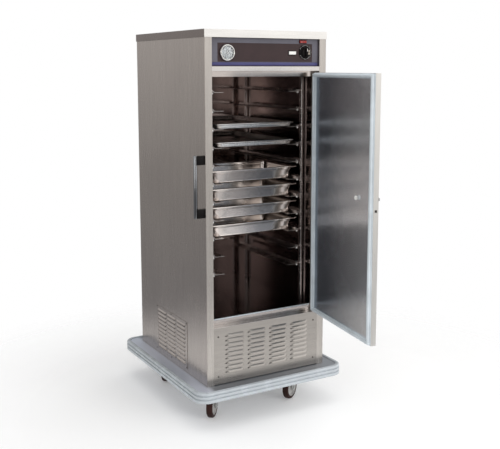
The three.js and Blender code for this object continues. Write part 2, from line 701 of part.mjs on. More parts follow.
function frameHinges() {
  const group = new THREE.Group();
  group.position.set(BAY_HALF_WIDTH + 0.6, -PIN_FORWARD, 0);
  group.add(piece('hinge_frame_leaf_lower', hingeFrameLeaf(HINGE_HEIGHTS[0]), steel()));
  group.add(piece('hinge_frame_leaf_upper', hingeFrameLeaf(HINGE_HEIGHTS[1]), steel()));
  return group;
}

// ---- Assembly ----------------------------------------------------------------------------
function body() {
  const group = new THREE.Group();
  group.position.z = DECK_HEIGHT;
  group.add(piece('side_panel_left', sidePanel(-1), steel()));
  group.add(piece('side_panel_right', sidePanel(1), steel()));
  group.add(piece('back_panel', backPanel(), steel()));
  group.add(piece('top_cap', topCap(), brightSteel()));
  group.add(piece('stile_left', stile(-1), brightSteel()));
  group.add(piece('stile_right', stile(1), brightSteel()));
  group.add(piece('header_rail', headerRail(), brightSteel()));
  group.add(piece('door_sill', doorSill(), brightSteel()));
  group.add(piece('liner_left', linerSide(-1), linerSteel()));
  group.add(piece('liner_right', linerSide(1), linerSteel()));
  group.add(piece('liner_back', linerBack(), linerSteel()));
  const ceiling = linerPlate(OPENING_TOP, OPENING_TOP + SHEET, FLANGE_TOP);
  const floor = linerPlate(OPENING_BOTTOM, OPENING_BOTTOM - SHEET, FLANGE_BOTTOM);
  group.add(piece('liner_top', ceiling, linerSteel()));
  group.add(piece('liner_floor', floor, linerSteel()));
  group.add(piece('slide_rack_left', slideRack(-1), brightSteel()));
  group.add(piece('slide_rack_right', slideRack(1), brightSteel()));
  group.add(piece('louvre_panel', louvrePanel(), steel()));
  group.add(piece('side_vent', sideVent(), steel()));
  group.add(piece('blower_housing', blowerHousing(), steel()));
  const impeller = piece('blower_wheel', blowerWheel(), brightSteel());
  impeller.position.set(BLOWER.x, BLOWER.y, BLOWER.base + 20);
  group.add(impeller);
  group.add(piece('heater_element', heaterElement(), darkPlastic()));
  group.add(piece('water_pan', waterPan(), brightSteel()));
  group.add(piece('power_inlet', powerInlet(), darkPlastic()));
  group.add(pans(), controls(), handles(), frameHinges(), door());
  return group;
}

const cabinet = new THREE.Group();
cabinet.add(piece('base_frame', baseFrame(), steel()));
cabinet.add(piece('bumper', bumper(), bumperVinyl()));
const CASTER_BACK_Y = BODY_DEPTH - CASTER_FRONT_Y;
cabinet.add(caster('front_left', -CASTER_X, CASTER_FRONT_Y, 43));
cabinet.add(caster('front_right', CASTER_X, CASTER_FRONT_Y, 58));
cabinet.add(caster('back_left', -CASTER_X, CASTER_BACK_Y, 40));
cabinet.add(caster('back_right', CASTER_X, CASTER_BACK_Y, 50));
cabinet.add(body());

// The origin is on the floor, under the middle of the whole footprint with the door open.
const bounds = new THREE.Box3().setFromObject(cabinet, true);
const middle = bounds.getCenter(new THREE.Vector3());
cabinet.position.set(-middle.x, -middle.y, -bounds.min.z);

const proofingCabinet = new THREE.Group();
proofingCabinet.add(cabinet);

export default proofingCabinet;
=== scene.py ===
"""Proofing cabinet: its looks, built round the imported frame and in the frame's axes. Shapes are
drawn in millimetres, and build scales each finished piece to the frame's metres."""

import json
import math

import bmesh
import bpy
from mathutils import Matrix, Vector


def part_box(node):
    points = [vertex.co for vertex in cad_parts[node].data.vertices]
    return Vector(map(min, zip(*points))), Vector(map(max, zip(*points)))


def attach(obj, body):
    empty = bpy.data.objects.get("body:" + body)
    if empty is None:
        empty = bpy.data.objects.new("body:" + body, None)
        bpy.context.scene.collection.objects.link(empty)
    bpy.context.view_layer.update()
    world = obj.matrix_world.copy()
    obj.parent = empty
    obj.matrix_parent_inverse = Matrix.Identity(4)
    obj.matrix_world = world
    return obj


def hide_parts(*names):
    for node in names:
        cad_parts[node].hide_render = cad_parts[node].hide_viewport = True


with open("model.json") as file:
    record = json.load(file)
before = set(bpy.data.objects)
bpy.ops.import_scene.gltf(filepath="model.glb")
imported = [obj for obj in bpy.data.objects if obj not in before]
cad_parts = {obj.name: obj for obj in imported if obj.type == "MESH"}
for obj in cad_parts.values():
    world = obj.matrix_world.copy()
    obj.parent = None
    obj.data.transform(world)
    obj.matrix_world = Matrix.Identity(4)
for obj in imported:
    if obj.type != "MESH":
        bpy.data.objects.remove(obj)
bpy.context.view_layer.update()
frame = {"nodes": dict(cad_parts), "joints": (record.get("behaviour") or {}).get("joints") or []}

NODES = frame["nodes"]
JOINTS = {joint["name"]: joint for joint in frame["joints"]}
SCENE = bpy.context.scene
MM = 0.001  # a millimetre, in metres
GAP = 0.3  # mm between a piece and what it sits on
PROUD = 0.1  # mm that louvre hoods and screws stand off their sheet
X, Y, Z = Vector((1, 0, 0)), Vector((0, 1, 0)), Vector((0, 0, 1))


# ---- Frames ----
def axes(origin, x_axis=X, y_axis=Y):
    """A matrix whose x and y axes are the ones given, with z across them."""
    x_axis, y_axis = Vector(x_axis).normalized(), Vector(y_axis).normalized()
    columns = Matrix((x_axis, y_axis, x_axis.cross(y_axis))).transposed().to_4x4()
    return Matrix.Translation(origin) @ columns


def moved(x, y, z):
    return Matrix.Translation((x, y, z))


def spun(degrees):
    return Matrix.Rotation(math.radians(degrees), 4, "Z")


def pivot(joint):
    return Vector(JOINTS[joint]["pos_m"]) / MM


def box(node, matrix=Matrix()):
    """A CAD node's lowest and highest corner in the axes of a matrix."""
    back = matrix.inverted()
    points = [back @ (vertex.co / MM) for vertex in NODES[node].data.vertices]
    return [Vector([pick(p[i] for p in points) for i in range(3)]) for pick in (min, max)]


def underside(node):
    """A CAD node's size, and axes at the middle of its underside."""
    low, high = box(node)
    return high - low, axes(((low.x + high.x) / 2, (low.y + high.y) / 2, low.z))


def near_side(node, matrix=Matrix()):
    """A CAD node's size, and axes at the middle of its lowest-y side, with z into it and y up."""
    low, high = box(node, matrix)
    middle = (low + high) / 2
    return high - low, matrix @ axes((middle.x, low.y, middle.z), -X, Z)


# ---- Mesh building ----
def loft(bm, rings, loop=False):
    """Skins rings of points. A ring of one point is a tip. Unless it loops, both ends are closed."""
    rows = [[bm.verts.new(point) for point in ring] for ring in rings]
    for low, high in zip(rows, rows[1:] + rows[:1] if loop else rows[1:]):
        count = max(len(low), len(high))
        for i in range(count):
            j = (i + 1) % count
            corners = (low[i % len(low)], low[j % len(low)], high[j % len(high)], high[i % len(high)])
            bm.faces.new(list(dict.fromkeys(corners)))
    if not loop:
        for row in (rows[0], rows[-1]):
            if len(row) > 2:
                bm.faces.new(row)


def arc(centre, radius, start, end, steps):
    """Points on an arc of a circle, from one angle in degrees to another."""
    angles = [math.radians(start + (end - start) * step / steps) for step in range(steps + 1)]
    return [(centre[0] + radius * math.cos(a), centre[1] + radius * math.sin(a)) for a in angles]


def circle(radius, steps):
    return arc((0, 0), radius, 0, 360, steps)[:steps]


def round_ring(width, depth, radius, steps):
    """Points and outward directions round a rectangle with rounded corners, anticlockwise."""
    across, along = width / 2 - radius, depth / 2 - radius
    corners = ((across, -along, -90), (across, along, 0), (-across, along, 90), (-across, -along, 180))
    ring = []
    for u, v, start in corners:
        for direction in arc((0, 0), 1, start, start + 90, steps):
            out = Vector(direction)
            ring.append((Vector((u, v)) + out * radius, out))
    return ring


def stacked(bm, layers, matrix, steps=8, loop=False):
    """Skins a stack of rounded rectangles (width, depth, corner radius, height)."""
    rings = []
    for width, depth, radius, height in layers:
        ring = round_ring(width, depth, radius, steps)
        rings.append([matrix @ Vector((*point, height)) for point, _ in ring])
    loft(bm, rings, loop)


def moulding(bm, path, section, matrix):
    """Runs a closed section of (outward, height) round a closed path of (point, outward direction)."""
    rings = []
    for point, out in path:
        rings.append([matrix @ Vector((*(point + out * outward), height)) for outward, height in section])
    loft(bm, rings, loop=True)


def turned(bm, profile, matrix, steps=48):
    """Turns a profile of (radius, height) about the matrix's z axis. It starts and ends on the axis
    or, with its first point repeated last, closes on itself."""
    closed = profile[0] == profile[-1] and profile[0][0] > 0
    rings = []
    for radius, height in profile[:-1] if closed else profile:
        rings.append([matrix @ Vector((x, y, height)) for x, y in circle(radius, steps if radius else 1)])
    loft(bm, rings, loop=closed)


def prism(bm, outline, low, high, matrix, bevel=0.0, segments=2, sharp=0.5):
    """A flat outline of (u, v) given thickness from low to high, with its sharp edges rounded."""
    before = set(bm.faces)
    loft(bm, [[matrix @ Vector((u, v, height)) for u, v in outline] for height in (low, high)])
    faces = [face for face in bm.faces if face not in before]
    bmesh.ops.recalc_face_normals(bm, faces=faces)
    if bevel:
        edges = dict.fromkeys(edge for face in faces for edge in face.edges)
        edges = [e for e in edges if len(e.link_faces) == 2 and e.calc_face_angle(0) > sharp]
        bmesh.ops.bevel(bm, geom=edges, offset=bevel, segments=segments, profile=0.5, affect="EDGES")


def block(bm, low, high, bevel=0.6, segments=2, matrix=Matrix()):
    outline = [(low[0], low[1]), (high[0], low[1]), (high[0], high[1]), (low[0], high[1])]
    prism(bm, outline, low[2], high[2], matrix, bevel, segments)


def tube(bm, points, radius, steps):
    """A round tube along a list of points, closed at both ends."""
    rings = []
    side = None
    for i, point in enumerate(points):
        ahead = points[min(i + 1, len(points) - 1)]
        along = (ahead - points[max(i - 1, 0)]).normalized()
        side = along.orthogonal() if side is None else side - along * side.dot(along)
        side.normalize()
        up = along.cross(side)
        rings.append([point + side * x + up * y for x, y in circle(radius, steps)])
    loft(bm, rings)


def screw(bm, matrix, radius):
    """A domed screw head with a socket, standing on the matrix's xy plane."""
    profile = [(0, 0), (1, 0), (1, 0.25), (0.85, 0.5), (0.5, 0.62), (0.4, 0.6), (0.38, 0.2), (0, 0.2)]
    turned(bm, [(r * radius, h * radius) for r, h in profile], matrix, 18)


def build(name, material, draw, replaces=(), body="cabinet", crease=35):
    """Makes one piece: draw fills its mesh, and it rides on a body and may stand for CAD nodes."""
    bm = bmesh.new()
    draw(bm)
    bmesh.ops.recalc_face_normals(bm, faces=bm.faces)
    bmesh.ops.scale(bm, vec=(MM, MM, MM), verts=bm.verts)
    mesh = bpy.data.meshes.new(name)
    bm.to_mesh(mesh)
    bm.free()
    mesh.shade_smooth()
    mesh.set_sharp_from_angle(angle=math.radians(crease))
    mesh.materials.append(material)
    piece = bpy.data.objects.new(name, mesh)
    SCENE.collection.objects.link(piece)
    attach(piece, body)
    if replaces:
        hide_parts(*replaces)


# ---- Materials ----
def fill(tree, node, inputs):
    """Links each input that is given another node's output, and sets the others."""
    for socket, value in inputs.items():
        if isinstance(value, bpy.types.NodeSocket):
            tree.links.new(value, node.inputs[socket])
        else:
            node.inputs[socket].default_value = value


def add_node(tree, kind, inputs={}, **settings):
    """Adds a node and returns its outputs."""
    made = tree.nodes.new(kind)
    for key, value in settings.items():
        setattr(made, key, value)
    fill(tree, made, inputs)
    return made.outputs


class Look:
    """A principled material with helpers for the noise that breaks up its surface. Its places are
    in metres, since they are the frame's own."""

    def __init__(self, name, colour, roughness, metallic=0.0):
        self.material = bpy.data.materials.new(name)
        self.material.use_nodes = True
        self.colour = colour
        self.set({"Base Color": (*colour, 1), "Roughness": roughness, "Metallic": metallic})
        self.place = self.node("ShaderNodeTexCoord")["Object"]

    def node(self, kind, inputs={}, **settings):
        return add_node(self.material.node_tree, kind, inputs, **settings)

    def set(self, inputs):
        tree = self.material.node_tree
        fill(tree, tree.nodes["Principled BSDF"], inputs)

    def noise(self, scale, detail=3.0, stretch=(1, 1, 1), offset=0.0):
        """Noise of so many cells per metre, stretched along an axis where its factor is small."""
        mapping = {"Vector": self.place, "Scale": stretch, "Location": (offset, offset, offset)}
        place = self.node("ShaderNodeMapping", mapping)["Vector"]
        return self.node("ShaderNodeTexNoise", {"Vector": place, "Scale": scale, "Detail": detail})["Fac"]

    def spread(self, value, low, high, start=0.3, end=0.7):
        """Maps a value from a range, by default the middle range of noise, on to one from low to high."""
        limits = {"From Min": start, "From Max": end, "To Min": low, "To Max": high}
        return self.node("ShaderNodeMapRange", {"Value": value, **limits})["Result"]

    def add(self, first, second):
        return self.node("ShaderNodeMath", {0: first, 1: second}, operation="ADD")["Value"]

    def blend(self, share, first, second):
        """Makes the base colour run from the first to the second as share goes from 0 to 1."""
        colour = self.node("ShaderNodeMix", {0: share, 6: first, 7: second}, data_type="RGBA")[2]
        self.set({"Base Color": colour})
        return colour

    def shade(self, share, low, high):
        """Makes the base colour run from low to high times itself."""
        ends = [(*[min(1.0, c * factor) for c in self.colour], 1) for factor in (low, high)]
        return self.blend(share, *ends)

    def paint_light_and_shade_by_place(self, colour, axis, start, end, tone):
        """Paints light or shade into the base colour: runs it from a colour to a lit or shaded tone
        between two places along an axis.
        """
        place = self.node("ShaderNodeSeparateXYZ", {0: self.place})[axis]
        return self.blend(self.spread(place, 0, 1, start, end), colour, (*tone, 1))

    def bump(self, value, depth, strength):
        inputs = {"Height": value, "Distance": depth, "Strength": strength}
        self.set({"Normal": self.node("ShaderNodeBump", inputs)["Normal"]})


def stretched(along, factor):
    return tuple(factor if axis == along else 1 for axis in "xyz")


def brushed(name, colour, roughness, along, contrast=1.0, painted_light_and_shade=(), metallic=1.0):
    """Stainless sheet: fine grain, broader streaks and clouded handling marks. Painted light and shade
    comes as (axis, start, end, tone): the colour blends to that tone from start to end along that axis."""
    look = Look(name, colour, roughness, metallic)
    grain = look.noise(1400, 2, stretched(along, 0.012))
    streak = look.noise(90, 2, stretched(along, 0.05), 3.1)
    cloud = look.noise(3.5, 2, offset=7.7)
    share = look.add(look.spread(streak, 0, 0.6), look.spread(cloud, 0, 0.4))
    mix = look.shade(share, 1 - 0.09 * contrast, 1 + 0.07 * contrast)
    # Each of these is painted light or shade, laid over the sheet's own tone.
    for blend in painted_light_and_shade:
        mix = look.paint_light_and_shade_by_place(mix, *blend)
    fine = look.spread(grain, -0.05 * contrast, 0.05 * contrast)
    broad = look.spread(cloud, roughness - 0.03, roughness + 0.04)
    look.set({"Roughness": look.add(broad, fine)})
    look.bump(grain, 0.00012, 0.3 * contrast)
    return look.material


def satin(name, colour, roughness, metallic=1.0, cloud_scale=9, contrast=1.0):
    """Plain metal with no grain direction: faint clouding and small scuffs."""
    look = Look(name, colour, roughness, metallic)
    cloud = look.noise(cloud_scale, 5)
    scuff = look.noise(420, 2, (1, 1, 0.3), 2.3)
    look.shade(look.spread(cloud, 0, 1), 1 - 0.15 * contrast, 1 + 0.1 * contrast)
    broad = look.spread(cloud, roughness - 0.03, roughness + 0.04)
    look.set({"Roughness": look.add(broad, look.spread(scuff, -0.02, 0.03))})
    look.bump(scuff, 0.00004, 0.12 * contrast)
    return look.material


def moulded(name, colour, roughness, pebbles=1500, wear=0.18, specular=0.5):
    """Moulded plastic or rubber: a skin of so many pebbles per metre, dulled in patches."""
    look = Look(name, colour, roughness)
    patch = look.noise(14, 4, offset=5.0)
    look.shade(look.spread(patch, 0, 1), 1 - wear, 1 + wear)
    look.set({"Roughness": look.spread(patch, roughness - 0.07, roughness + 0.1)})
    look.set({"Specular IOR Level": specular})
    look.bump(look.noise(pebbles, 3), 0.0002, 0.3)
    return look.material


def lens(name, colour, roughness, transmission):
    """Clear or coloured moulded lens with a faint ripple."""
    look = Look(name, colour, roughness)
    ripple = look.noise(120, 2)
    look.set({"Transmission Weight": transmission, "IOR": 1.49})
    look.set({"Roughness": look.spread(ripple, roughness, roughness + 0.05)})
    look.bump(ripple, 0.0001, 0.15)
    return look.material


CAP_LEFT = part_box("top_cap")[0].x
DECK_LEFT = -0.35
FLANGE_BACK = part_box("liner_left")[0].y + 2.5 * MM
# Painted shade: the top cap's left side face is darkened to a dark brown, standing in for the dark
# reflection on it.
CAP_SIDE_PAINTED_SHADE = ("X", CAP_LEFT + 2 * MM, CAP_LEFT + MM, (0.22, 0.19, 0.18))
# Painted light: the deck's left edge is lightened to a pale blue-grey, standing in for the light
# reflected there.
DECK_LEFT_PAINTED_LIGHT = ("X", DECK_LEFT + 0.03, DECK_LEFT, (0.66, 0.70, 0.80))
# Painted light: the chamber liners' front edges are lightened out of the chamber's painted shade, as if
# lit from the front.
FLANGE_PAINTED_LIGHT = ("Y", FLANGE_BACK + MM, FLANGE_BACK, (0.5, 0.46, 0.44))
# Painted light: the door liner lightens towards its free edge, standing in for the reflection seen there.
LINER_FREE_EDGE_PAINTED_LIGHT = ("Y", -0.30, -0.68, (0.94, 0.96, 1.0))
LINING = (0.56, 0.465, 0.44)
# Painted shade: the lining's colour where the chamber is in shade.
LINING_IN_PAINTED_SHADE = (0.24, 0.195, 0.185)
SIDE_STEEL = brushed("side_steel", (0.435, 0.395, 0.372), 0.25, "z")
BACK_STEEL = brushed("back_steel", (0.46, 0.44, 0.42), 0.30, "z")
FACE_STEEL = brushed("face_steel", (0.50, 0.47, 0.44), 0.30, "z")
RAIL_STEEL = brushed("rail_steel", (0.64, 0.62, 0.60), 0.28, "x")
CAP_STEEL = brushed("cap_steel", (0.76, 0.75, 0.73), 0.26, "x", 1.0, [CAP_SIDE_PAINTED_SHADE])
LOUVRE_STEEL = brushed("louvre_steel", (0.40, 0.375, 0.35), 0.32, "x")
DECK_STEEL = brushed("deck_steel", (0.24, 0.255, 0.28), 0.36, "x", 1.0, [DECK_LEFT_PAINTED_LIGHT], 0.6)
# Painted shade: the side and top liners darken towards the front of the chamber.
LINING_STEEL = brushed(
    "lining_steel", LINING, 0.13, "z", 1.2, [("Y", 0.36, 0.22, LINING_IN_PAINTED_SHADE), FLANGE_PAINTED_LIGHT])
# Painted shade: the chamber floor is a near-black copy of the lining, standing in for the shade on it.
FLOOR_LINING_IN_PAINTED_SHADE = brushed("floor_lining_in_painted_shade", (0.11, 0.095, 0.10), 0.14, "x", 1.2, [FLANGE_PAINTED_LIGHT])
# Painted shade: the back liner darkens towards its left.
BACK_LINING_STEEL = brushed(
    "back_lining_steel", LINING, 0.13, "z", 1.2, [("X", 0.13, 0.03, LINING_IN_PAINTED_SHADE)])
LINER_STEEL = brushed(
    "door_liner_steel", (0.28, 0.315, 0.365), 0.25, "x", 0.5, [LINER_FREE_EDGE_PAINTED_LIGHT], 0.86)
DOOR_STEEL = brushed("door_steel", (0.80, 0.785, 0.75), 0.34, "z")
RACK_STEEL = satin("rack_steel", (0.66, 0.62, 0.60), 0.24)
PAN_STEEL = satin("pan_steel", (0.90, 0.82, 0.765), 0.13, cloud_scale=5, contrast=0.6)
PAN_ALUMINIUM = satin("pan_aluminium", (0.80, 0.785, 0.765), 0.27, cloud_scale=5, contrast=0.6)
ZINC = satin("caster_zinc", (0.55, 0.55, 0.54), 0.33, cloud_scale=40)
CHROME = satin("chrome", (0.27, 0.275, 0.285), 0.07, contrast=0.5)
SCREW_STEEL = satin("screw_steel", (0.14, 0.13, 0.125), 0.25, cloud_scale=60)
SHEATH = satin("heater_sheath", (0.10, 0.085, 0.08), 0.42, 0.8, 50)
BEZEL_STEEL = satin("bezel_steel", (0.88, 0.87, 0.84), 0.24, cloud_scale=60)
# Painted shade: the latch bolt is near-black, standing in for the shade of the hole it sits back in.
BOLT_IN_PAINTED_SHADE = satin("bolt_in_painted_shade", (0.10, 0.09, 0.085), 0.35, cloud_scale=60)
BRASS = satin("terminal_brass", (0.62, 0.45, 0.2), 0.3, cloud_scale=80)
VINYL = moulded("bumper_vinyl", (0.45, 0.485, 0.515), 0.24, 700, 0.05)
GASKET = moulded("gasket_vinyl", (0.62, 0.68, 0.72), 0.45, 1200, 0.1)
RUBBER = moulded("tyre_rubber", (0.026, 0.008, 0.006), 0.55, 900, 0.35, 0.2)
HUB = moulded("hub_nylon", (0.42, 0.41, 0.40), 0.4, 1100)
BLACK = moulded("black_plastic", (0.005, 0.004, 0.004), 0.38, 1300, 0.3, 0.14)
WHITE = moulded("white_plastic", (0.88, 0.87, 0.84), 0.38, wear=0.06)
BEIGE = moulded("beige_plastic", (0.42, 0.36, 0.30), 0.4, wear=0.08)
FIELD = moulded("fascia_field", (0.045, 0.028, 0.029), 0.42, 1600, 0.12, 0.25)
BORDER = moulded("fascia_border", (0.125, 0.12, 0.145), 0.36, 1600, 0.12, 0.3)
STRIPE = moulded("fascia_stripe", (0.055, 0.055, 0.17), 0.36, 1600, 0.12)
ENAMEL = moulded("dial_enamel", (0.15, 0.185, 0.205), 0.35, wear=0.05)
INK = moulded("dial_ink", (0.02, 0.02, 0.02), 0.5, wear=0.2)
RED = lens("red_lens", (0.42, 0.035, 0.03), 0.16, 0.25)
GLASS = lens("dial_glass", (1, 1, 1), 0.03, 1.0)


def keep(nodes, material, bevel=0.5 * MM):
    """CAD nodes that stay: their own finish, and their edges rounded."""
    for node in nodes:
        piece = NODES[node]
        piece.data.materials.clear()
        piece.data.materials.append(material)
        rounding = piece.modifiers.new("rounding", "BEVEL")
        rounding.width = bevel
        rounding.segments = 2
        rounding.limit_method = "ANGLE"
        rounding.harden_normals = True
        piece.data.shade_smooth()
        piece.data.set_sharp_from_angle(angle=math.radians(30))


# ---- Base ----
BUMPER_THICKNESS = 20
BUMPER_RADIUS = 65
BUMPER_SECTION_HEIGHT = 53
RIM_SHEET = 3
DECK_BEND = 3


def draw_bumper(bm):
    """A vinyl extrusion: two ridges with grooves between, a rolled top and a lip over the deck."""
    size, matrix = underside("bumper")
    section = [
        (-20, 0), (-4, 0), (-1.2, 1.2), (0, 4), (0, 14.4), (-1.2, 16.2), (-6, 17.4), (-6, 22.4),
        (-1.2, 23.6), (0, 25.4), (0, 33), (-1.2, 34.8), (-6, 36), (-6, 40.8), (-1.2, 42),
        (-0.2, 43.4), (-0.6, 47), (-2.4, 50.6), (-5.2, 52.5), (-8.5, 53), (-12, 52.6), (-13.2, 50.4),
        (-14.8, 50.2), (-16, 52.4), (-18, 53), (-20, 52.4),
    ]
    section = [(outward, level * size.z / BUMPER_SECTION_HEIGHT) for outward, level in section]
    moulding(bm, round_ring(size.x, size.y, BUMPER_RADIUS, 16), section, matrix)


def draw_base_pan(bm):
    """The deck sheet with its rim folded down."""
    size, matrix = underside("base_frame")
    radius = BUMPER_RADIUS - BUMPER_THICKNESS
    bend = arc((DECK_BEND, size.z - DECK_BEND), DECK_BEND, 180, 90, 4)
    steps = [(RIM_SHEET, size.z - 4), (RIM_SHEET, 0), (0, 0), *bend]
    layers = [(size.x - 2 * inset, size.y - 2 * inset, radius - inset, level) for inset, level in steps]
    stacked(bm, layers, matrix, 16)


def draw_caster_rails(bm):
    """Two rails across the underside, in line with the casters."""
    low, high = box("base_frame")
    for place in ("front_left", "back_left"):
        y = pivot(f"swivel_{place}").y
        block(bm, (low.x + 6, y - 60, low.z), (high.x - 6, y + 60, high.z - 4.3), 2, 3)


build("bumper_moulding", VINYL, draw_bumper, ["bumper"])
build("deck_pan", DECK_STEEL, draw_base_pan, ["base_frame"])
build("caster_rails", DECK_STEEL, draw_caster_rails)


# ---- Casters ----
CROWN = 133  # the height of the fork's crown


def draw_caster_plate(bm, upright, top):
    """The bolted mounting plate above the swivel race."""
    plate = upright @ moved(0, 0, top - 3.4)
    stacked(bm, [(76, 96, 6, 0), (78, 98, 7, 0.8), (78, 98, 7, 2.4), (77, 97, 6.5, 3.2)], plate, 6)
    for x in (-29, 29):
        for y in (-39, 39):
            under = upright @ axes((x, y, top - 3.3), X, -Y)
            turned(bm, [(0, 0), (6, 0), (6, 3.6), (5, 4.4), (0, 4.4)], under, 6)


def draw_fork(bm, upright, node, axle):
    """Race cup, crown and two folded legs, with the axle bolt and a nut at each end."""
    low, high = box(node, upright)
    race = [(0, 5), (24, 5), (29, 7), (30, 10), (30, 13), (27.5, 16), (20, 18.5), (0, 18.5)]
    turned(bm, [(r, CROWN + h) for r, h in race], upright)
    leg = (high.x - low.x) / 2 - 5
    block(bm, (-leg, -42, CROWN), (leg, 27, CROWN + 7), 2, 3, upright)
    outline = [(27, CROWN + 2), (-42, CROWN + 2), (axle.y - 17, axle.z + 5)]
    outline += arc((axle.y, axle.z), 16, 200, 340, 10)
    outline += [(axle.y + 20, axle.z + 6), (12, CROWN - 34), (24, CROWN - 18)]
    side_frame = upright @ axes((0, 0, 0), Y, Z)
    nut = [(0, 0), (9.5, 0), (9.5, 3.2), (8.6, 4.1), (3.4, 4.1), (3.4, 4.9), (0, 4.9)]
    for side in (-1, 1):
        near, far = sorted((side * (leg - 4), side * leg))
        prism(bm, outline, near, far, side_frame, 0.7)
        turned(bm, nut, side_frame @ axes((axle.y, axle.z, side * leg), X, Y * side), 6)
    bolt = [(0, -leg), (5.8, -leg), (5.8, leg), (0, leg)]
    turned(bm, bolt, side_frame @ moved(axle.y, axle.z, 0), 24)


def draw_tyre(bm, wheel, radius, half):
    side = [(47, half - 0.6), (53, half), (57.5, half - 0.9), (61, half - 3.6), (62.9, 7.5), (radius, 3)]
    profile = [(r, -h) for r, h in side] + side[::-1]
    turned(bm, profile + profile[:1], wheel, 72)


def draw_hub(bm, wheel, half):
    """A dished disc with a raised bearing boss on each side."""
    side = [(6.4, half + 0.4), (12, half + 0.4), (14, half - 0.4), (17.5, half - 1), (19, 9), (22, 7),
            (36, 5.2), (41, 6), (43, 11), (44.5, half - 1.6), (46.8, half - 1.4)]
    profile = side + [(r, -h) for r, h in reversed(side)]
    turned(bm, profile + profile[:1], wheel, 64)


for place in ("front_left", "front_right", "back_left", "back_right"):
    swivel, centre = pivot(f"swivel_{place}"), pivot(f"wheel_{place}")
    axle = Vector(JOINTS[f"wheel_{place}"]["axis"])
    upright = axes((swivel.x, swivel.y, 0), axle, Z.cross(axle))
    wheel = axes(centre, Z.cross(axle), Z)
    fork_node, wheel_node = f"caster_fork_{place}", f"caster_wheel_{place}"
    top, rim = box(fork_node)[1].z, box(wheel_node, wheel)[1]
    build(f"{place}_caster_plate", ZINC,
          lambda bm: draw_caster_plate(bm, upright, top))
    build(f"{place}_fork", ZINC,
          lambda bm: draw_fork(bm, upright, fork_node, upright.inverted() @ centre),
          [fork_node], f"caster_{place}")
    build(f"{place}_tyre", RUBBER,
          lambda bm: draw_tyre(bm, wheel, rim.x, rim.z), [wheel_node], f"wheel_{place}")
    build(f"{place}_hub", HUB, lambda bm: draw_hub(bm, wheel, rim.z),
          body=f"wheel_{place}")


# ---- Body shell ----
keep(["side_panel_left", "side_panel_right", "side_vent"], SIDE_STEEL)
keep(["back_panel"], BACK_STEEL)
keep(["stile_left", "stile_right"], FACE_STEEL)
keep(["header_rail", "door_sill"], RAIL_STEEL)
keep(["liner_left", "liner_right", "liner_top"], LINING_STEEL)
keep(["liner_back"], BACK_LINING_STEEL)
keep(["liner_floor"], FLOOR_LINING_IN_PAINTED_SHADE)
keep(["louvre_panel"], LOUVRE_STEEL)
keep(["door_shell"], DOOR_STEEL)
keep(["door_liner"], LINER_STEEL)
keep(["latch_bolt"], BOLT_IN_PAINTED_SHADE)
keep(["top_cap"], CAP_STEEL, 1.2 * MM)


def draw_threshold_strip(bm):
    """A pale strip pressed along the front edge of the chamber floor."""
    low, high = box("liner_floor")
    block(bm, (low.x + 2, low.y + 0.2, high.z + 0.1), (high.x - 2, low.y + 8, high.z + 5.5), 1.2, 3)


def louvre_hood(bm, matrix, width, height, depth, across=14, down=6):
    """A pressed hood: rounded at both ends, rising from the sheet to an open lower lip."""
    shells = []
    for inset, sink in ((0, 0), (1, 0.05)):
        rows = []
        for j in range(down + 1):
            fall = j / down
            rise = depth * math.sin(fall * math.pi / 2) ** 0.8
            row = []
            for i in range(across + 1):
                u = 2 * i / across - 1
                u = math.copysign(abs(u) ** 0.7, u)
                out = max(0, rise * (1 - abs(u) ** 12) ** 0.5 - inset) - sink
                row.append(Vector((u * (width / 2 - inset), (height - inset) * (1 - fall), out)))
            rows.append([bm.verts.new(matrix @ point) for point in row])
        shells.append(rows)
        for upper, lower in zip(rows, rows[1:]):
            for i in range(across):
                bm.faces.new((upper[i], upper[i + 1], lower[i + 1], lower[i]))
    rims = []
    for rows in shells:
        right, left = [row[-1] for row in rows[1:]], [row[0] for row in rows[-2:0:-1]]
        rims.append(rows[0] + right + rows[-1][-2::-1] + left)
    outer, inner = rims
    for i in range(len(outer)):
        bm.faces.new((outer[i - 1], outer[i], inner[i], inner[i - 1]))


def draw_louvres(bm, face, first, pitch, columns, rows, hood):
    """Hoods in columns and rows, with the first one's place and the pitch in the face's axes.
    hood is their width, height and depth."""
    for column in range(columns):
        for row in range(rows):
            place = moved(first[0] + pitch[0] * column, first[1] + pitch[1] * row, 0)
            louvre_hood(bm, face @ place, *hood)


def build_screws(name, places, across, radius):
    """Domed screws on a face that has an axis running across it."""
    def draw(bm):
        for place in places:
            screw(bm, axes(place, across, Z), radius)

    build(name, SCREW_STEEL, draw)


build("threshold_strip", GASKET, draw_threshold_strip)

PANEL_LOW = box("louvre_panel")[0]
VENT_LOW, VENT_HIGH = box("side_vent")
BACK_LOW, BACK_HIGH = box("back_panel")
FRONT_FACE = axes(PANEL_LOW - Y * PROUD, X, Z)
VENT_FACE = axes(VENT_LOW - X * PROUD, -Y, Z)
build("front_louvre_hoods", LOUVRE_STEEL,
      lambda bm: draw_louvres(bm, FRONT_FACE, first=(117.2, 51), pitch=(126, 23), columns=4, rows=9,
                              hood=(95, 14, 6.5)), crease=60)
build("side_louvre_hoods", SIDE_STEEL,
      lambda bm: draw_louvres(bm, VENT_FACE, first=(-73, 23.5), pitch=(-118, 22), columns=3, rows=10,
                              hood=(105, 11, 5)), crease=60)
build_screws("front_screws", [(x, PANEL_LOW.y - PROUD, PANEL_LOW.z + rise)
                              for x in (-278, 278) for rise in (38, 240)], X, 4.2)
build_screws("vent_screws", [(VENT_LOW.x - PROUD, y, z)
                             for y in (VENT_LOW.y + 8, (VENT_LOW.y + VENT_HIGH.y) / 2, VENT_HIGH.y - 8)
                             for z in (VENT_LOW.z + 7, VENT_HIGH.z - 7)], -Y, 3.2)
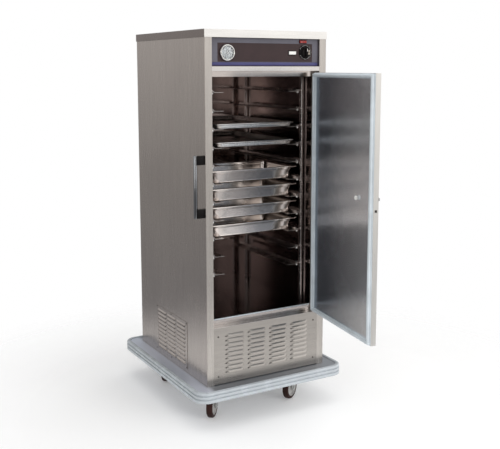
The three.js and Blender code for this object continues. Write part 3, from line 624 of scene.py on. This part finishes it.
BACK_SCREWS = [(x, BACK_LOW.z + 40 + row * (BACK_HIGH.z - BACK_LOW.z - 80) / 8)
               for x in (BACK_LOW.x + 14, BACK_HIGH.x - 14) for row in range(9)]
BACK_SCREWS += [(x, BACK_HIGH.z - 14) for x in (-200, 0, 200)]
build_screws("back_screws", [(x, BACK_HIGH.y + PROUD, z) for x, z in BACK_SCREWS], -X, 3.6)


# ---- Slide racks and pans ----
LEDGE_PITCH = 90
LEDGE_TOP = box("sheet_pan_upper")[0].z - GAP + 2 * LEDGE_PITCH
LEDGE_TOPS = [LEDGE_TOP - level * LEDGE_PITCH for level in range(11)]
LEDGE_INNER = 186
LEDGE_GUIDE = 237
LEDGE_SHEET = 1.5
LEDGE_FLARES = ((0, 1), (3, 0.92), (7, 0.7), (12, 0.4), (18, 0.14), (26, 0))  # (from the front, lean)
UPRIGHT_DEPTH = 20
UPRIGHT_WIDTH = 12
BEAD_RADIUS = 6.5


def ledge_section(top, flare):
    """An angle section with a hemmed inner edge and a guide flange that leans out as it flares."""
    inner, guide, sheet = LEDGE_INNER, LEDGE_GUIDE, LEDGE_SHEET
    lean = guide + flare * 12
    crest = top + 12 - 2 * flare
    return [
        (inner + 0.6, top - 0.3), (inner + 2, top), (guide - 3, top), (guide - 0.9, top + 0.9),
        (guide, top + 3), (lean, crest), (lean + 0.75, crest + 0.3), (lean + sheet, crest),
        (guide + sheet, top + 2), (guide + sheet - 1, top - 0.6), (guide - 2, top - sheet),
        (inner + 2, top - sheet), (inner, top - sheet), (inner, top - 0.7),
    ]


def draw_rack(bm, side, node):
    """Two uprights, and ledges clipped to them that flare at their front ends."""
    low, high = box(node)
    outer = high.x if side > 0 else -low.x
    inner = outer - UPRIGHT_WIDTH
    near, far = sorted((side * inner, side * outer))
    clip_near, clip_far = sorted((side * (LEDGE_GUIDE + 0.8), side * (inner + 1)))
    for y in (low.y + 4, high.y - UPRIGHT_DEPTH):
        block(bm, (near, y, low.z), (far, y + UPRIGHT_DEPTH, high.z), 2.2, 3)
        for top in LEDGE_TOPS:
            block(bm, (clip_near, y + 3, top - 0.8), (clip_far, y + 17, top + 9), 1.5)
    stations = [(low.y + y, flare) for y, flare in LEDGE_FLARES] + [(high.y, 0)]
    for top in LEDGE_TOPS:
        sections = [(y, ledge_section(top, flare)) for y, flare in stations]
        loft(bm, [[Vector((side * x, y, z)) for x, z in section] for y, section in sections])


def draw_ledge_tips(bm, side, node):
    """The bright turned button at the front end of each ledge."""
    profile = [(0, BEAD_RADIUS), *arc((0, 0), BEAD_RADIUS, 90, -90, 10)[1:-1], (0, -BEAD_RADIUS)]
    front = box(node)[0].y + BEAD_RADIUS
    for top in LEDGE_TOPS:
        turned(bm, profile, axes((side * (LEDGE_GUIDE + 8), front, top - 5), X, Z), 20)


for word, side in (("left", -1), ("right", 1)):
    node = f"slide_rack_{word}"
    build(f"{word}_rack", RACK_STEEL, lambda bm: draw_rack(bm, side, node), [node])
    build(f"{word}_ledge_tips", BEZEL_STEEL,
          lambda bm: draw_ledge_tips(bm, side, node))


def pan_layers(size, top, bottom, corner, wall, bead, foot=9, step=0.72):
    """An open pan from the outside of its floor, up and over its rim, to the inside of its floor.
    top and bottom are its body's widths and lengths; step is the share of its height at the step."""
    def body(share, inset, level, radius):
        width, length = [b + (t - b) * share - 2 * inset for t, b in zip(top, bottom)]
        return (width, length, radius, level)

    def floor_bend(wall):
        bend = arc((foot, foot), foot, 270, 180, 5)
        flat = body(0, wall + bend[0][0], wall + bend[0][1], corner - wall - 4)
        return [flat] + [body(0, wall + inset, wall + level, corner - wall) for inset, level in bend[1:]]

    rim = size.z - bead
    middle = size.z * step
    inner = corner - wall
    layers = floor_bend(0) + [
        body(step, 0, middle, corner), body(0.8, -0.8, middle + 1.2, corner),
        body(1, 0, rim - 2, corner), body(1, -1.5, rim - 0.4, corner), body(1, -3, rim, corner),
    ]
    for out, level in arc((0, size.z - bead / 2), bead / 2, -90, 90, 4):
        layers.append((size.x - bead + 2 * out, size.y - bead + 2 * out, corner + 5, level))
    return layers + [
        body(1, -2, size.z - 0.3, corner), body(1, wall * 0.3, size.z - 1.2, inner),
        body(1, wall, size.z - 3.5, inner), body(0.8, wall - 0.8, middle + 1.6, inner),
        body(step, wall, middle + 0.2, inner), *reversed(floor_bend(wall)),
    ]


def build_pan(name, node, material, slot, *shape):
    size, matrix = underside(node)
    build(name, material, lambda bm: stacked(bm, pan_layers(size, *shape), matrix), [node])


for word in ("upper", "lower"):
    build_pan(f"{word}_sheet_pan", f"sheet_pan_{word}", PAN_ALUMINIUM, "pan_aluminium",
              (440, 643), (430, 633), 16, 1.5, 4)
for number in range(1, 5):
    build_pan(f"hotel_pan_{number}", f"deep_pan_{number}", PAN_STEEL, "pan_steel",
              (468, 289), (452, 273), 30, 1.2, 5)


# ---- Machine bay ----
def draw_blower_housing(bm, outlet=17):
    """A drum with a rolled mouth, open at the outlet, on a foot, with the motor inside it."""
    low, high = box("blower_housing")
    centre = sum(box("blower_wheel"), Vector()) / 2
    r = high.x - centre.x
    base = low.z + 30
    matrix = axes((centre.x, centre.y, base))
    rim = high.z - base
    turned(bm, [(0, 0), (r - 0.5, 0), (r, 0.8), (r, 3), (0, 3)], matrix, 72)
    section = [(r - 3, 2.5), (r, 2.5), (r, rim - 2), (r - 0.6, rim - 0.4), (r - 1.5, rim),
               (r - 2.6, rim - 0.5), (r - 3, rim - 2)]
    around = arc((0, 0), 1, 180 + outlet, 540 - outlet, 72)
    loft(bm, [[matrix @ Vector((x * out, y * out, h)) for out, h in section] for x, y in around])
    turned(bm, [(0, 2), (31, 2), (32, 4), (32, 14), (28, 17), (0, 18)], matrix)
    block(bm, (centre.x - 40, centre.y - 40, low.z), (centre.x + 40, centre.y + 40, base), 2, 3)


def draw_blower_wheel(bm, blades=24):
    """Curved blades between a back plate and a ring."""
    size, matrix = underside("blower_wheel")
    top = size.z
    turned(bm, [(0, 0), (91.4, 0), (92, 0.6), (92, 2.4), (0, 3)], matrix, 72)
    turned(bm, [(0, 2), (20, 2), (20, 28), (18, 30), (6, 30), (6, 27), (0, 27)], matrix, 40)
    turned(bm, [(86, top - 4), (92, top - 4), (92, top), (86, top), (86, top - 4)], matrix, 72)
    line = [(60 + 7 * step, 7 * math.sin(step * math.pi * 0.15)) for step in range(5)]
    outline = line + [(u, v - 1.2) for u, v in reversed(line)]
    for blade in range(blades):
        prism(bm, outline, 2.5, top - 3, matrix @ spun(360 / blades * blade))


def draw_heater(bm, radius=6):
    """A sheathed hairpin element in its terminal block."""
    low, high = box("heater_element")
    left, right = low.x + 15, high.x - 15
    bend = (right - left) / 2
    start, end = high.y - 20, low.y + radius + bend
    leg = [start + (end - start) * step / 12 for step in range(13)]
    path = [(left, y) for y in leg] + arc((left + bend, end), bend, 180, 360, 20)[1:-1]
    path += [(right, y) for y in reversed(leg)]
    tube(bm, [Vector((x, y, low.z + 18)) for x, y in path], radius, 18)
    block(bm, (low.x, high.y - 38, low.z), high, 3, 3)


def draw_water_pan(bm):
    size, matrix = underside("water_pan")
    top, bottom = [(size.x - less, size.y - less) for less in (8, 16)]
    stacked(bm, pan_layers(size, top, bottom, 18, 1.2, 3), matrix, 6)


def draw_inlet(bm):
    """A flanged inlet with a hooded recess."""
    (width, deep, tall), matrix = near_side("power_inlet")
    stacked(bm, [
        (width - 2, tall - 2, 5, 0), (width, tall, 6, 0.8), (width, tall, 6, 3.2),
        (width - 1.6, tall - 1.6, 5, 4), (51.5, 41.5, 6, 4.2), (50, 40, 5.5, 5.5),
        (50, 40, 5.5, deep - 1), (48.6, 38.6, 5, deep), (39.4, 29.4, 3, deep),
        (38, 28, 2.4, deep - 1), (38, 28, 2.4, 6),
    ], matrix, 6)


def draw_inlet_metal(bm):
    """Three connector pins and two flange screws."""
    matrix = near_side("power_inlet")[1]
    pin = [(0, 0), (2.5, 0), (2.5, 12), (1.4, 14), (0, 14.2)]
    for x, z in ((-10, -6), (0, 6), (10, -6)):
        turned(bm, pin, matrix @ moved(x, z, 5.8), 20)
    for x in (-30.5, 30.5):
        screw(bm, matrix @ moved(x, 0, 3.9), 3)


build("blower_drum", ZINC, draw_blower_housing, ["blower_housing"])
build("blower_impeller", ZINC, draw_blower_wheel, ["blower_wheel"], "blower")
build("heater_hairpin", SHEATH, draw_heater, ["heater_element"])
build("humidity_pan", PAN_STEEL, draw_water_pan, ["water_pan"])
build("mains_inlet", BLACK, draw_inlet, ["power_inlet"])
build("mains_inlet_metal", BRASS, draw_inlet_metal)


# ---- Control fascia ----
FASCIA_LOW, FASCIA_HIGH = box("control_fascia")
FASCIA_FRONT = FASCIA_LOW.y
FASCIA_MARGIN = 2
BORDER_SIDE = 34
BORDER_TOP = 22
STRIPE_HEIGHT = 15
LAID_ON = 0.02  # how far the border and the stripe stand off the field


def on_fascia(node, standoff=0.0):
    """A control's size, and axes on the fascia behind it, with z towards the front."""
    low, high = box(node)
    middle = (low + high) / 2
    return high - low, axes((middle.x, FASCIA_FRONT - standoff, middle.z), X, Z)


def framed(bm, outer, window, back, front):
    """A flat frame between two rectangles (left, bottom, right, top), from one y to another."""
    rings = []
    for (left, bottom, right, top), levels in ((outer, (back, front)), (window, (front, back))):
        corners = ((left, bottom), (right, bottom), (right, top), (left, top))
        rings += [[Vector((x, y, z)) for x, z in corners] for y in levels]
    loft(bm, rings, loop=True)


def draw_fascia(bm, margin=0.8):
    """The field, with the rocker's window cut in it."""
    low, high = box("power_rocker")
    window = (low.x - margin, low.z - margin, high.x + margin, high.z + margin)
    outer = (FASCIA_LOW.x, FASCIA_LOW.z, FASCIA_HIGH.x, FASCIA_HIGH.z)
    framed(bm, outer, window, FASCIA_HIGH.y, FASCIA_FRONT)


def draw_fascia_border(bm, depth=0.8):
    """A raised border round the field, wide on three sides and narrow along the stripe."""
    left, right = FASCIA_LOW.x + FASCIA_MARGIN, FASCIA_HIGH.x - FASCIA_MARGIN
    bottom, top = FASCIA_LOW.z + STRIPE_HEIGHT + 5, FASCIA_HIGH.z - FASCIA_MARGIN
    window = (left + BORDER_SIDE, bottom + 1.5, right - BORDER_SIDE, top - BORDER_TOP)
    back = FASCIA_FRONT - LAID_ON
    framed(bm, (left, bottom, right, top), window, back, back - depth)


def draw_fascia_stripe(bm, depth=0.9):
    bottom = FASCIA_LOW.z + 4
    low = (FASCIA_LOW.x + FASCIA_MARGIN, FASCIA_FRONT - depth, bottom)
    high = (FASCIA_HIGH.x - FASCIA_MARGIN, FASCIA_FRONT - LAID_ON, bottom + STRIPE_HEIGHT)
    block(bm, low, high, 0.3)


build("fascia_plate", FIELD, draw_fascia, ["control_fascia"])
build("fascia_border_strip", BORDER, draw_fascia_border)
build("fascia_bottom_stripe", STRIPE, draw_fascia_stripe)

DIAL_SIZE, DIAL = on_fascia("thermometer_case", GAP)
DIAL_RADIUS = DIAL_SIZE.x / 2
DIAL_FACE = 3  # the face's height in the case
FIRST_MARK = 135  # degrees from the top, anticlockwise
MARK_PITCH = 6.75  # degrees


def draw_bezel(bm):
    """A rolled bezel round a shallow cup."""
    r = DIAL_RADIUS
    turned(bm, [
        (0, 0), (r - 3, 0), (r - 0.6, 0.8), (r, 3), (r, 7), (r - 0.7, 9.6), (r - 2.2, 11.4), (r - 4, 12),
        (r - 5.6, 11.6), (r - 6.6, 10.4), (r - 7, 8.6), (r - 7, 3), (0, 3),
    ], DIAL, 96)


def draw_dial_face(bm):
    r = DIAL_RADIUS - 7.4
    turned(bm, [(0, 0.05), (r, 0.05), (r, 0.5), (0, 0.5)], DIAL @ moved(0, 0, DIAL_FACE), 96)


def draw_dial_marks(bm):
    """A scale of long and short marks over three quarters of the dial."""
    face = DIAL @ moved(0, 0, DIAL_FACE + 0.45)
    for mark in range(41):
        half, inner = (0.3, 24) if mark % 5 else (0.55, 21.5)
        block(bm, (-half, inner, 0), (half, 28, 0.15), 0, 1, face @ spun(FIRST_MARK - MARK_PITCH * mark))
    turned(bm, [(28.6, 0), (29.3, 0), (29.3, 0.15), (28.6, 0.15), (28.6, 0)], face, 96)


def draw_dial_glass(bm):
    r = DIAL_RADIUS - 7.3
    angles = [math.pi / 2 * step / 6 for step in range(7)]
    dome = [(r * math.sin(a), 8.6 + 1.2 * math.cos(a)) for a in angles]
    turned(bm, dome + [(radius, level - 0.9) for radius, level in reversed(dome)], DIAL, 72)


def draw_needle(bm):
    """A tapered pointer with a tail, on a domed boss."""
    low, high = box("thermometer_needle")
    centre = pivot("needle_sweep")
    turn = axes((centre.x, high.y, centre.z), X, Z) @ spun(FIRST_MARK)
    deep = high.y - low.y
    outline = [(-1.3, -9), (-1.8, -12), (1.8, -12), (1.3, -9), (0.9, 14), (1.5, 18), (0, 27.5),
               (-1.5, 18), (-0.9, 14)]
    prism(bm, outline, deep - 2.6, deep - 1.6, turn, 0.15, 1)
    boss = [(0, -3), (2.6, -3), (3.6, -2), (3.4, -0.6), (2.2, 0), (0, 0)]
    turned(bm, [(r, deep + h) for r, h in boss], turn, 32)


build("dial_bezel", BEZEL_STEEL, draw_bezel, ["thermometer_case"])
build("dial_face", ENAMEL, draw_dial_face)
build("dial_marks", INK, draw_dial_marks)
build("dial_lens", GLASS, draw_dial_glass)
build("dial_needle", INK, draw_needle, ["thermometer_needle"], "needle")

KNOB_LOW, KNOB_HIGH = box("thermostat_knob")
KNOB_CENTRE = pivot("thermostat_turn")
KNOB = axes((KNOB_CENTRE.x, KNOB_HIGH.y, KNOB_CENTRE.z), X, Z)
KNOB_RADIUS = (KNOB_HIGH.x - KNOB_LOW.x) / 2
KNOB_DEPTH = KNOB_HIGH.y - KNOB_LOW.y


def draw_knob(bm):
    """A skirted knob with a ribbed barrel and a tapered grip across it."""
    r, deep = KNOB_RADIUS, KNOB_DEPTH
    turned(bm, [
        (0, 0.2), (r - 0.6, 0.2), (r, 1), (r, 2.4), (r - 1, 3.4), (r - 6, 4.8), (25, 5.8), (24, 7),
        (23, 12.6), (21.6, 14), (0, 14),
    ], KNOB, 96)
    for rib in range(36):
        block(bm, (22.4, -0.9, 6), (24.4, 0.9, 12.6), 0.4, 1, KNOB @ spun(10 * rib))
    stacked(bm, [(15, 43, 7, 13), (13, 41, 6, 15), (11.5, 40, 5.5, deep - 2), (10.5, 39, 5, deep - 0.6),
                 (8.5, 37, 4, deep)], KNOB)


def draw_knob_marks(bm):
    """A pointer line on the grip, and a scale round the skirt."""
    block(bm, (-1.1, 4, KNOB_DEPTH - 0.1), (1.1, 18, KNOB_DEPTH + 0.12), 0, 1, KNOB)
    outer, rise = KNOB_RADIUS - 1.4, 3.4
    for mark in range(25):
        half, length = (0.45, 3) if mark % 4 else (0.9, 5)
        low, high = (outer - length, -half, rise), (outer, half, rise + 1.5 - length * 0.12)
        block(bm, low, high, 0, 1, KNOB @ spun(-150 + 12.5 * mark))


def draw_knob_pads(bm):
    """Four pale pads on the barrel's face, beside the grip."""
    for x in (8.4, 15):
        for y in (-11.5, 1):
            block(bm, (x, y, 13.8), (x + 5.4, y + 10.5, 14.6), 0.4, 2, KNOB)


def draw_rocker(bm, half=19.5):
    """A rocker with a shallow dished face and rounded shoulders."""
    low, high = box("power_rocker")
    centre = pivot("rocker_tip")
    matrix = moved(centre.x, centre.y, (low.z + high.z) / 2) @ spun(-4)
    face = [(half * u, -5 - 2 * u ** 2) for u in (step / 6 - 1 for step in range(13))]
    prism(bm, face + [(half - 6, 5), (6 - half, 5)], -7.5, 7.5, matrix, 0.6)


def draw_rocker_bezel(bm):
    stacked(bm, [(46, 22, 3, 0), (46, 22, 3, 1), (44.6, 20.6, 2.5, 1.8), (41.4, 17.4, 1.2, 1.8),
                 (40.4, 16.4, 1, 1.2), (40.4, 16.4, 1, 0)], on_fascia("power_rocker")[1], 5, loop=True)


def draw_lamp(bm):
    """A domed rectangular lens with ribs along it."""
    (width, deep, tall), matrix = on_fascia("pilot_lamp", GAP)
    stacked(bm, [(width - 1, tall - 1, 2, 0), (width - 1, tall - 1, 2, deep - 3),
                 (width - 2.4, tall - 2.4, 2, deep - 1), (width - 6, tall - 5, 1.6, deep)], matrix, 6)
    for rib in range(9):
        x = (rib - 4) * 3.6
        block(bm, (x - 0.7, -4, deep - 1), (x + 0.7, 4, deep + 0.25), 0.3, 1, matrix)


def draw_lamp_bezel(bm):
    size, matrix = on_fascia("pilot_lamp")
    rims = ((4, 0), (4, 1.4), (3, 2.2), (0.4, 2.2), (-0.7, 1.6), (-0.7, 0))
    layers = [(size.x + grow, size.z + grow, 2.4, level) for grow, level in rims]
    stacked(bm, layers, matrix, 5, loop=True)


build("thermostat_dial_knob", BLACK, draw_knob, ["thermostat_knob"], "thermostat")
build("thermostat_marks", WHITE, draw_knob_marks, body="thermostat")
build("thermostat_pads", BEIGE, draw_knob_pads, body="thermostat")
build("rocker_button", WHITE, draw_rocker, ["power_rocker"], "rocker")
build("rocker_bezel", BLACK, draw_rocker_bezel)
build("pilot_lens", RED, draw_lamp, ["pilot_lamp"])
build("pilot_bezel", BLACK, draw_lamp_bezel)


# ---- Push handles ----
def draw_handle_bar(bm, node):
    size, matrix = underside(node)
    r = size.x / 2
    end = [(0, 0), (r - 2.5, 0), (r - 0.8, 0.8), (r, 2.6)]
    turned(bm, end + [(radius, size.z - level) for radius, level in reversed(end)], matrix)


def draw_bracket(bm, side, node, bar):
    """A moulded block with a rounded saddle for the bar."""
    low, high = box(node)
    bar_size, bar_matrix = underside(bar)
    centre = bar_matrix.translation
    foot = low.x if side > 0 else high.x
    reach = abs(centre.x - foot)
    half = (high.y - low.y) / 2
    outline = [(0, -half), (reach - 6, -half), *arc((reach - 6, 4 - half), 4, -90, 0, 4)[1:]]
    outline += arc((reach, 0), bar_size.x / 2 + 0.15, 270, 90, 12)
    outline += [*arc((reach - 6, half - 4), 4, 0, 90, 4), (0, half)]
    matrix = axes((foot, centre.y, low.z), X * side, Y * side)
    prism(bm, outline, 0, high.z - low.z, matrix, 0.9)


for word, side in (("left", -1), ("right", 1)):
    bar = f"handle_bar_{word}"
    build(f"{word}_push_bar", CHROME, lambda bm: draw_handle_bar(bm, bar), [bar])
    for level in ("lower", "upper"):
        node = f"handle_bracket_{word}_{level}"
        build(f"{word}_{level}_bracket", BLACK,
              lambda bm: draw_bracket(bm, side, node, bar), [node])


# ---- Door ----
PIN = pivot("door_swing")
HINGE_LINE = moved(PIN.x, PIN.y, 0)
DOOR = HINGE_LINE @ spun(-JOINTS["door_swing"]["range_deg"][0])


def draw_gasket(bm):
    """A bulb seal with a snap-in base and an outer fin, mitred at the corners."""
    size, matrix = near_side("door_gasket", DOOR)
    bulb = arc((-11, size.y - 7.2), 7.2, 205, -20, 15)
    section = [(0, 0), (-22, 0), (-22, 1.6), (-19.5, 2.8), (-18.6, 5), *bulb, (-3.4, 4.6), (-1.6, 4.2),
               (0, 2)]
    corners = ((1, -1), (1, 1), (-1, 1), (-1, -1))
    path = [(Vector((u * size.x / 2, v * size.z / 2)), Vector((u, v))) for u, v in corners]
    moulding(bm, path, section, matrix)


def draw_lever(bm):
    """Rose, neck and a tapered paddle grip."""
    place = DOOR.inverted() @ pivot("latch_turn")
    face = box("door_shell", DOOR)[0].y
    spindle = box("latch_lever", DOOR)[1].y - face - 0.3
    matrix = DOOR @ axes((place.x, face, place.z), X, Z)
    rose = [(0, 0.3), (19.4, 0.3), (20, 1.2), (20, 4), (18.6, 6.6), (14, 8), (0, 8)]
    neck = [(0, 6), (11, 7.6), (9.4, 10), (9, 14), (9, 33), (0, 34)]
    turned(bm, rose, matrix, 64)
    turned(bm, neck, matrix, 40)
    turned(bm, [(0, -spindle), (5, -spindle), (5, 2), (0, 2)], matrix, 24)
    rings = []
    for along, wide, thick, rise in (
        (11, 5, 3, 36), (9, 9, 5, 36), (4, 9.6, 5.5, 36), (-20, 8, 5, 36), (-55, 8.4, 4.6, 36.4),
        (-78, 9, 4.4, 36), (-86, 7.6, 4, 35.6), (-90, 4.4, 2.4, 35.2),
    ):
        ring = []
        for c, s in circle(1, 24):
            across = math.copysign(abs(c) ** 0.6, c) * wide
            out = math.copysign(abs(s) ** 0.6, s) * thick
            ring.append(matrix @ Vector((along, across, rise + out)))
        rings.append(ring)
    loft(bm, rings)


def draw_release(bm):
    """A white push knob on the spindle's inner end, with a dished face."""
    size, matrix = near_side("release_knob", DOOR)
    r, deep = size.x / 2, size.y
    turned(bm, [
        (0, 0), (r * 0.66, 0), (r * 0.66, 2.6), (r * 0.8, 4), (r, 6), (r, deep - 3.4),
        (r * 0.94, deep - 1.2), (r * 0.8, deep), (r * 0.6, deep - 0.5), (0, deep - 1),
    ], matrix)


def leaf_screws(bm, matrix, places):
    head = [(0, 0), (3.6, 0), (3.4, 0.5), (1.5, 0.6), (1.4, 0.15), (0, 0.15)]
    for u, v in places:
        turned(bm, head, matrix @ moved(u, v, 0), 20)


def draw_frame_leaf(bm, node):
    """A bored knuckle on a leaf that is screwed to the stile."""
    low, high = box(node)
    z, top, face = low.z, high.z, high.y
    turned(bm, [(3.3, z), (6.4, z), (7, z + 0.6), (7, top - 0.6), (6.4, top), (3.3, top), (3.3, z)],
           HINGE_LINE, 40)
    block(bm, (PIN.x + 3, face - 2, z), high)
    block(bm, (PIN.x + 3.6, PIN.y + 3, z + 0.2), (PIN.x + 6.4, face - 1, top - 0.2), 0.3)
    leaf_screws(bm, axes((high.x - 9, face - 2, (z + top) / 2), X, Z), ((0, -8), (0, 8)))


def draw_door_leaf(bm, node):
    """An upper knuckle with the pin under it, on a leaf that is screwed to the door."""
    low, high = box(node, DOOR)
    z, top, back = high.z - 29.7, high.z, high.y
    turned(bm, [(0, z), (6.4, z), (7, z + 0.6), (7, top - 0.8), (5.4, top), (0, top)], HINGE_LINE, 40)
    turned(bm, [(0, low.z), (2.4, low.z), (3, low.z + 0.6), (3, z + 1), (0, z + 1)], HINGE_LINE, 24)
    block(bm, (low.x, back - 2, z), (-2, back, top), matrix=DOOR)
    block(bm, (-6.4, 2.5, z + 0.2), (-2.4, back - 1, top - 0.2), 0.3, 2, DOOR)
    middle = (z + top) / 2
    places = ((-33, middle - 8), (-33, middle + 8), (-19, middle))
    leaf_screws(bm, DOOR @ axes((0, back - 2, 0), X, Z), places)


build("door_bulb_gasket", GASKET, draw_gasket, ["door_gasket"], "door")
build("latch_handle", CHROME, draw_lever, ["latch_lever"], "latch")
build("inside_release", WHITE, draw_release, ["release_knob"], "latch")
for level in ("lower", "upper"):
    frame_node, door_node = f"hinge_frame_leaf_{level}", f"hinge_door_leaf_{level}"
    build(f"{level}_hinge_frame_leaf", ZINC,
          lambda bm: draw_frame_leaf(bm, frame_node), [frame_node])
    build(f"{level}_hinge_door_leaf", ZINC,
          lambda bm: draw_door_leaf(bm, door_node), [door_node], "door")


# ---- Studio, in metres ----
FLOOR_FADE = (1.15, 2.1)  # distances from the object between which the floor fades out
SKY_BY_HEIGHT = (  # the sine of the height, and the light from there
    (-1, (0.34, 0.34, 0.34)), (-0.3, (0.36, 0.36, 0.37)), (-0.14, (0.42, 0.41, 0.40)),
    (0.03, (0.75, 0.73, 0.71)), (0.2, (0.95, 0.94, 0.93)), (0.5, (0.8, 0.8, 0.8)), (1, (1, 1, 1)),
)
SKY_BY_SIDE = (  # how far towards the right, and what that height's light is multiplied by
    (-1, 0.85), (-0.7, 0.88), (-0.45, 0.4), (0, 0.45), (0.6, 1.4), (0.85, 1.75), (1, 1.6),
)
RIGHT = (0.9, -0.43, 0)


def studio_world():
    """Soft light all round: brightest overhead and to the right, and dim just under the horizon."""
    world = bpy.data.worlds.new("studio")
    world.use_nodes = True
    SCENE.world = world
    tree = world.node_tree
    direction = add_node(tree, "ShaderNodeTexCoord")["Generated"]

    def graded(toward, levels):
        """A colour that follows how far a direction points towards another, from -1 to 1."""
        aim = {0: direction, 1: Vector(toward).normalized()}
        share = add_node(tree, "ShaderNodeVectorMath", aim, operation="DOT_PRODUCT")["Value"]
        ramp = tree.nodes.new("ShaderNodeValToRGB")
        fill(tree, ramp, {0: add_node(tree, "ShaderNodeMapRange", {"Value": share, "From Min": -1})[0]})
        stops = ramp.color_ramp.elements
        stops[0].color = (*levels[0][1], 1)
        stops[1].color = (*levels[-1][1], 1)
        for place, colour in levels[1:-1]:
            stops.new((place + 1) / 2).color = (*colour, 1)
        return ramp.outputs["Color"]

    by_side = graded(RIGHT, [(place, (level, level, level)) for place, level in SKY_BY_SIDE])
    factors = {0: graded(Z, SKY_BY_HEIGHT), 1: by_side}
    light = add_node(tree, "ShaderNodeVectorMath", factors, operation="MULTIPLY")["Vector"]
    fill(tree, tree.nodes["Background"], {"Color": light})
    white = add_node(tree, "ShaderNodeBackground", {"Color": (1, 1, 1, 1)})["Background"]
    share = add_node(tree, "ShaderNodeLightPath")["Is Camera Ray"]
    ends = {0: share, 1: tree.nodes["Background"].outputs["Background"], 2: white}
    seen = add_node(tree, "ShaderNodeMixShader", ends)["Shader"]
    fill(tree, tree.nodes["World Output"], {"Surface": seen})


def soft_light(name, place, target, size, power, reflected=False):
    """A soft box aimed at a point. Sheet metal shows it only if it is reflected."""
    data = bpy.data.lights.new(name, "AREA")
    data.shape = "RECTANGLE"
    data.size, data.size_y = size
    data.energy = power
    light = bpy.data.objects.new(name, data)
    light.visible_glossy = reflected
    SCENE.collection.objects.link(light)
    light.location = place
    light.rotation_euler = (Vector(target) - Vector(place)).to_track_quat("-Z", "Y").to_euler()


def studio_floor():
    """A pale floor that fades into the white backdrop."""
    bm = bmesh.new()
    bmesh.ops.create_grid(bm, x_segments=8, y_segments=8, size=FLOOR_FADE[1] + 0.1)
    mesh = bpy.data.meshes.new("studio_floor")
    bm.to_mesh(mesh)
    bm.free()
    floor = bpy.data.objects.new("studio_floor", mesh)
    floor.location.z = -0.2 * MM
    SCENE.collection.objects.link(floor)
    look = Look("pale_floor", (0.88, 0.88, 0.88), 0.75)
    look.set({"Emission Color": (1, 1, 1, 1), "Emission Strength": 0.16})
    look.shade(look.spread(look.noise(1.5, 3), 0, 1), 0.985, 1.01)
    distance = look.node("ShaderNodeVectorMath", {0: look.place}, operation="LENGTH")["Value"]
    look.set({"Alpha": look.spread(distance, 1, 0, *FLOOR_FADE)})
    mesh.materials.append(look.material)


CAMERA_PLACE = (-2.0725, -3.5859, 1.7459)
CAMERA_YAW = 0.5290  # from +Y towards +X
CAMERA_PITCH = -0.1405
CAMERA_LENS = 59.39
CAMERA_SHIFT = (-0.0134, -0.08)


def studio_camera():
    data = bpy.data.cameras.new("camera")
    data.lens = CAMERA_LENS
    data.shift_x, data.shift_y = CAMERA_SHIFT
    data.clip_end = 200
    camera = bpy.data.objects.new("camera", data)
    SCENE.collection.objects.link(camera)
    camera.location = CAMERA_PLACE
    camera.rotation_euler = (math.pi / 2 + CAMERA_PITCH, 0, -CAMERA_YAW)
    SCENE.camera = camera


SCENE.view_settings.view_transform = "Standard"
studio_world()
studio_floor()
soft_light("key", (1.6, -4.6, 1.8), (0, -0.2, 0.7), (2.4, 1.8), 75)
soft_light("top", (-0.6, -0.4, 4.4), (0, 0, 1), (4, 4), 55)
soft_light("strip", (-3.4, -2.4, 1.7), (0, -0.2, 0.9), (0.5, 2.4), 22, reflected=True)
studio_camera()
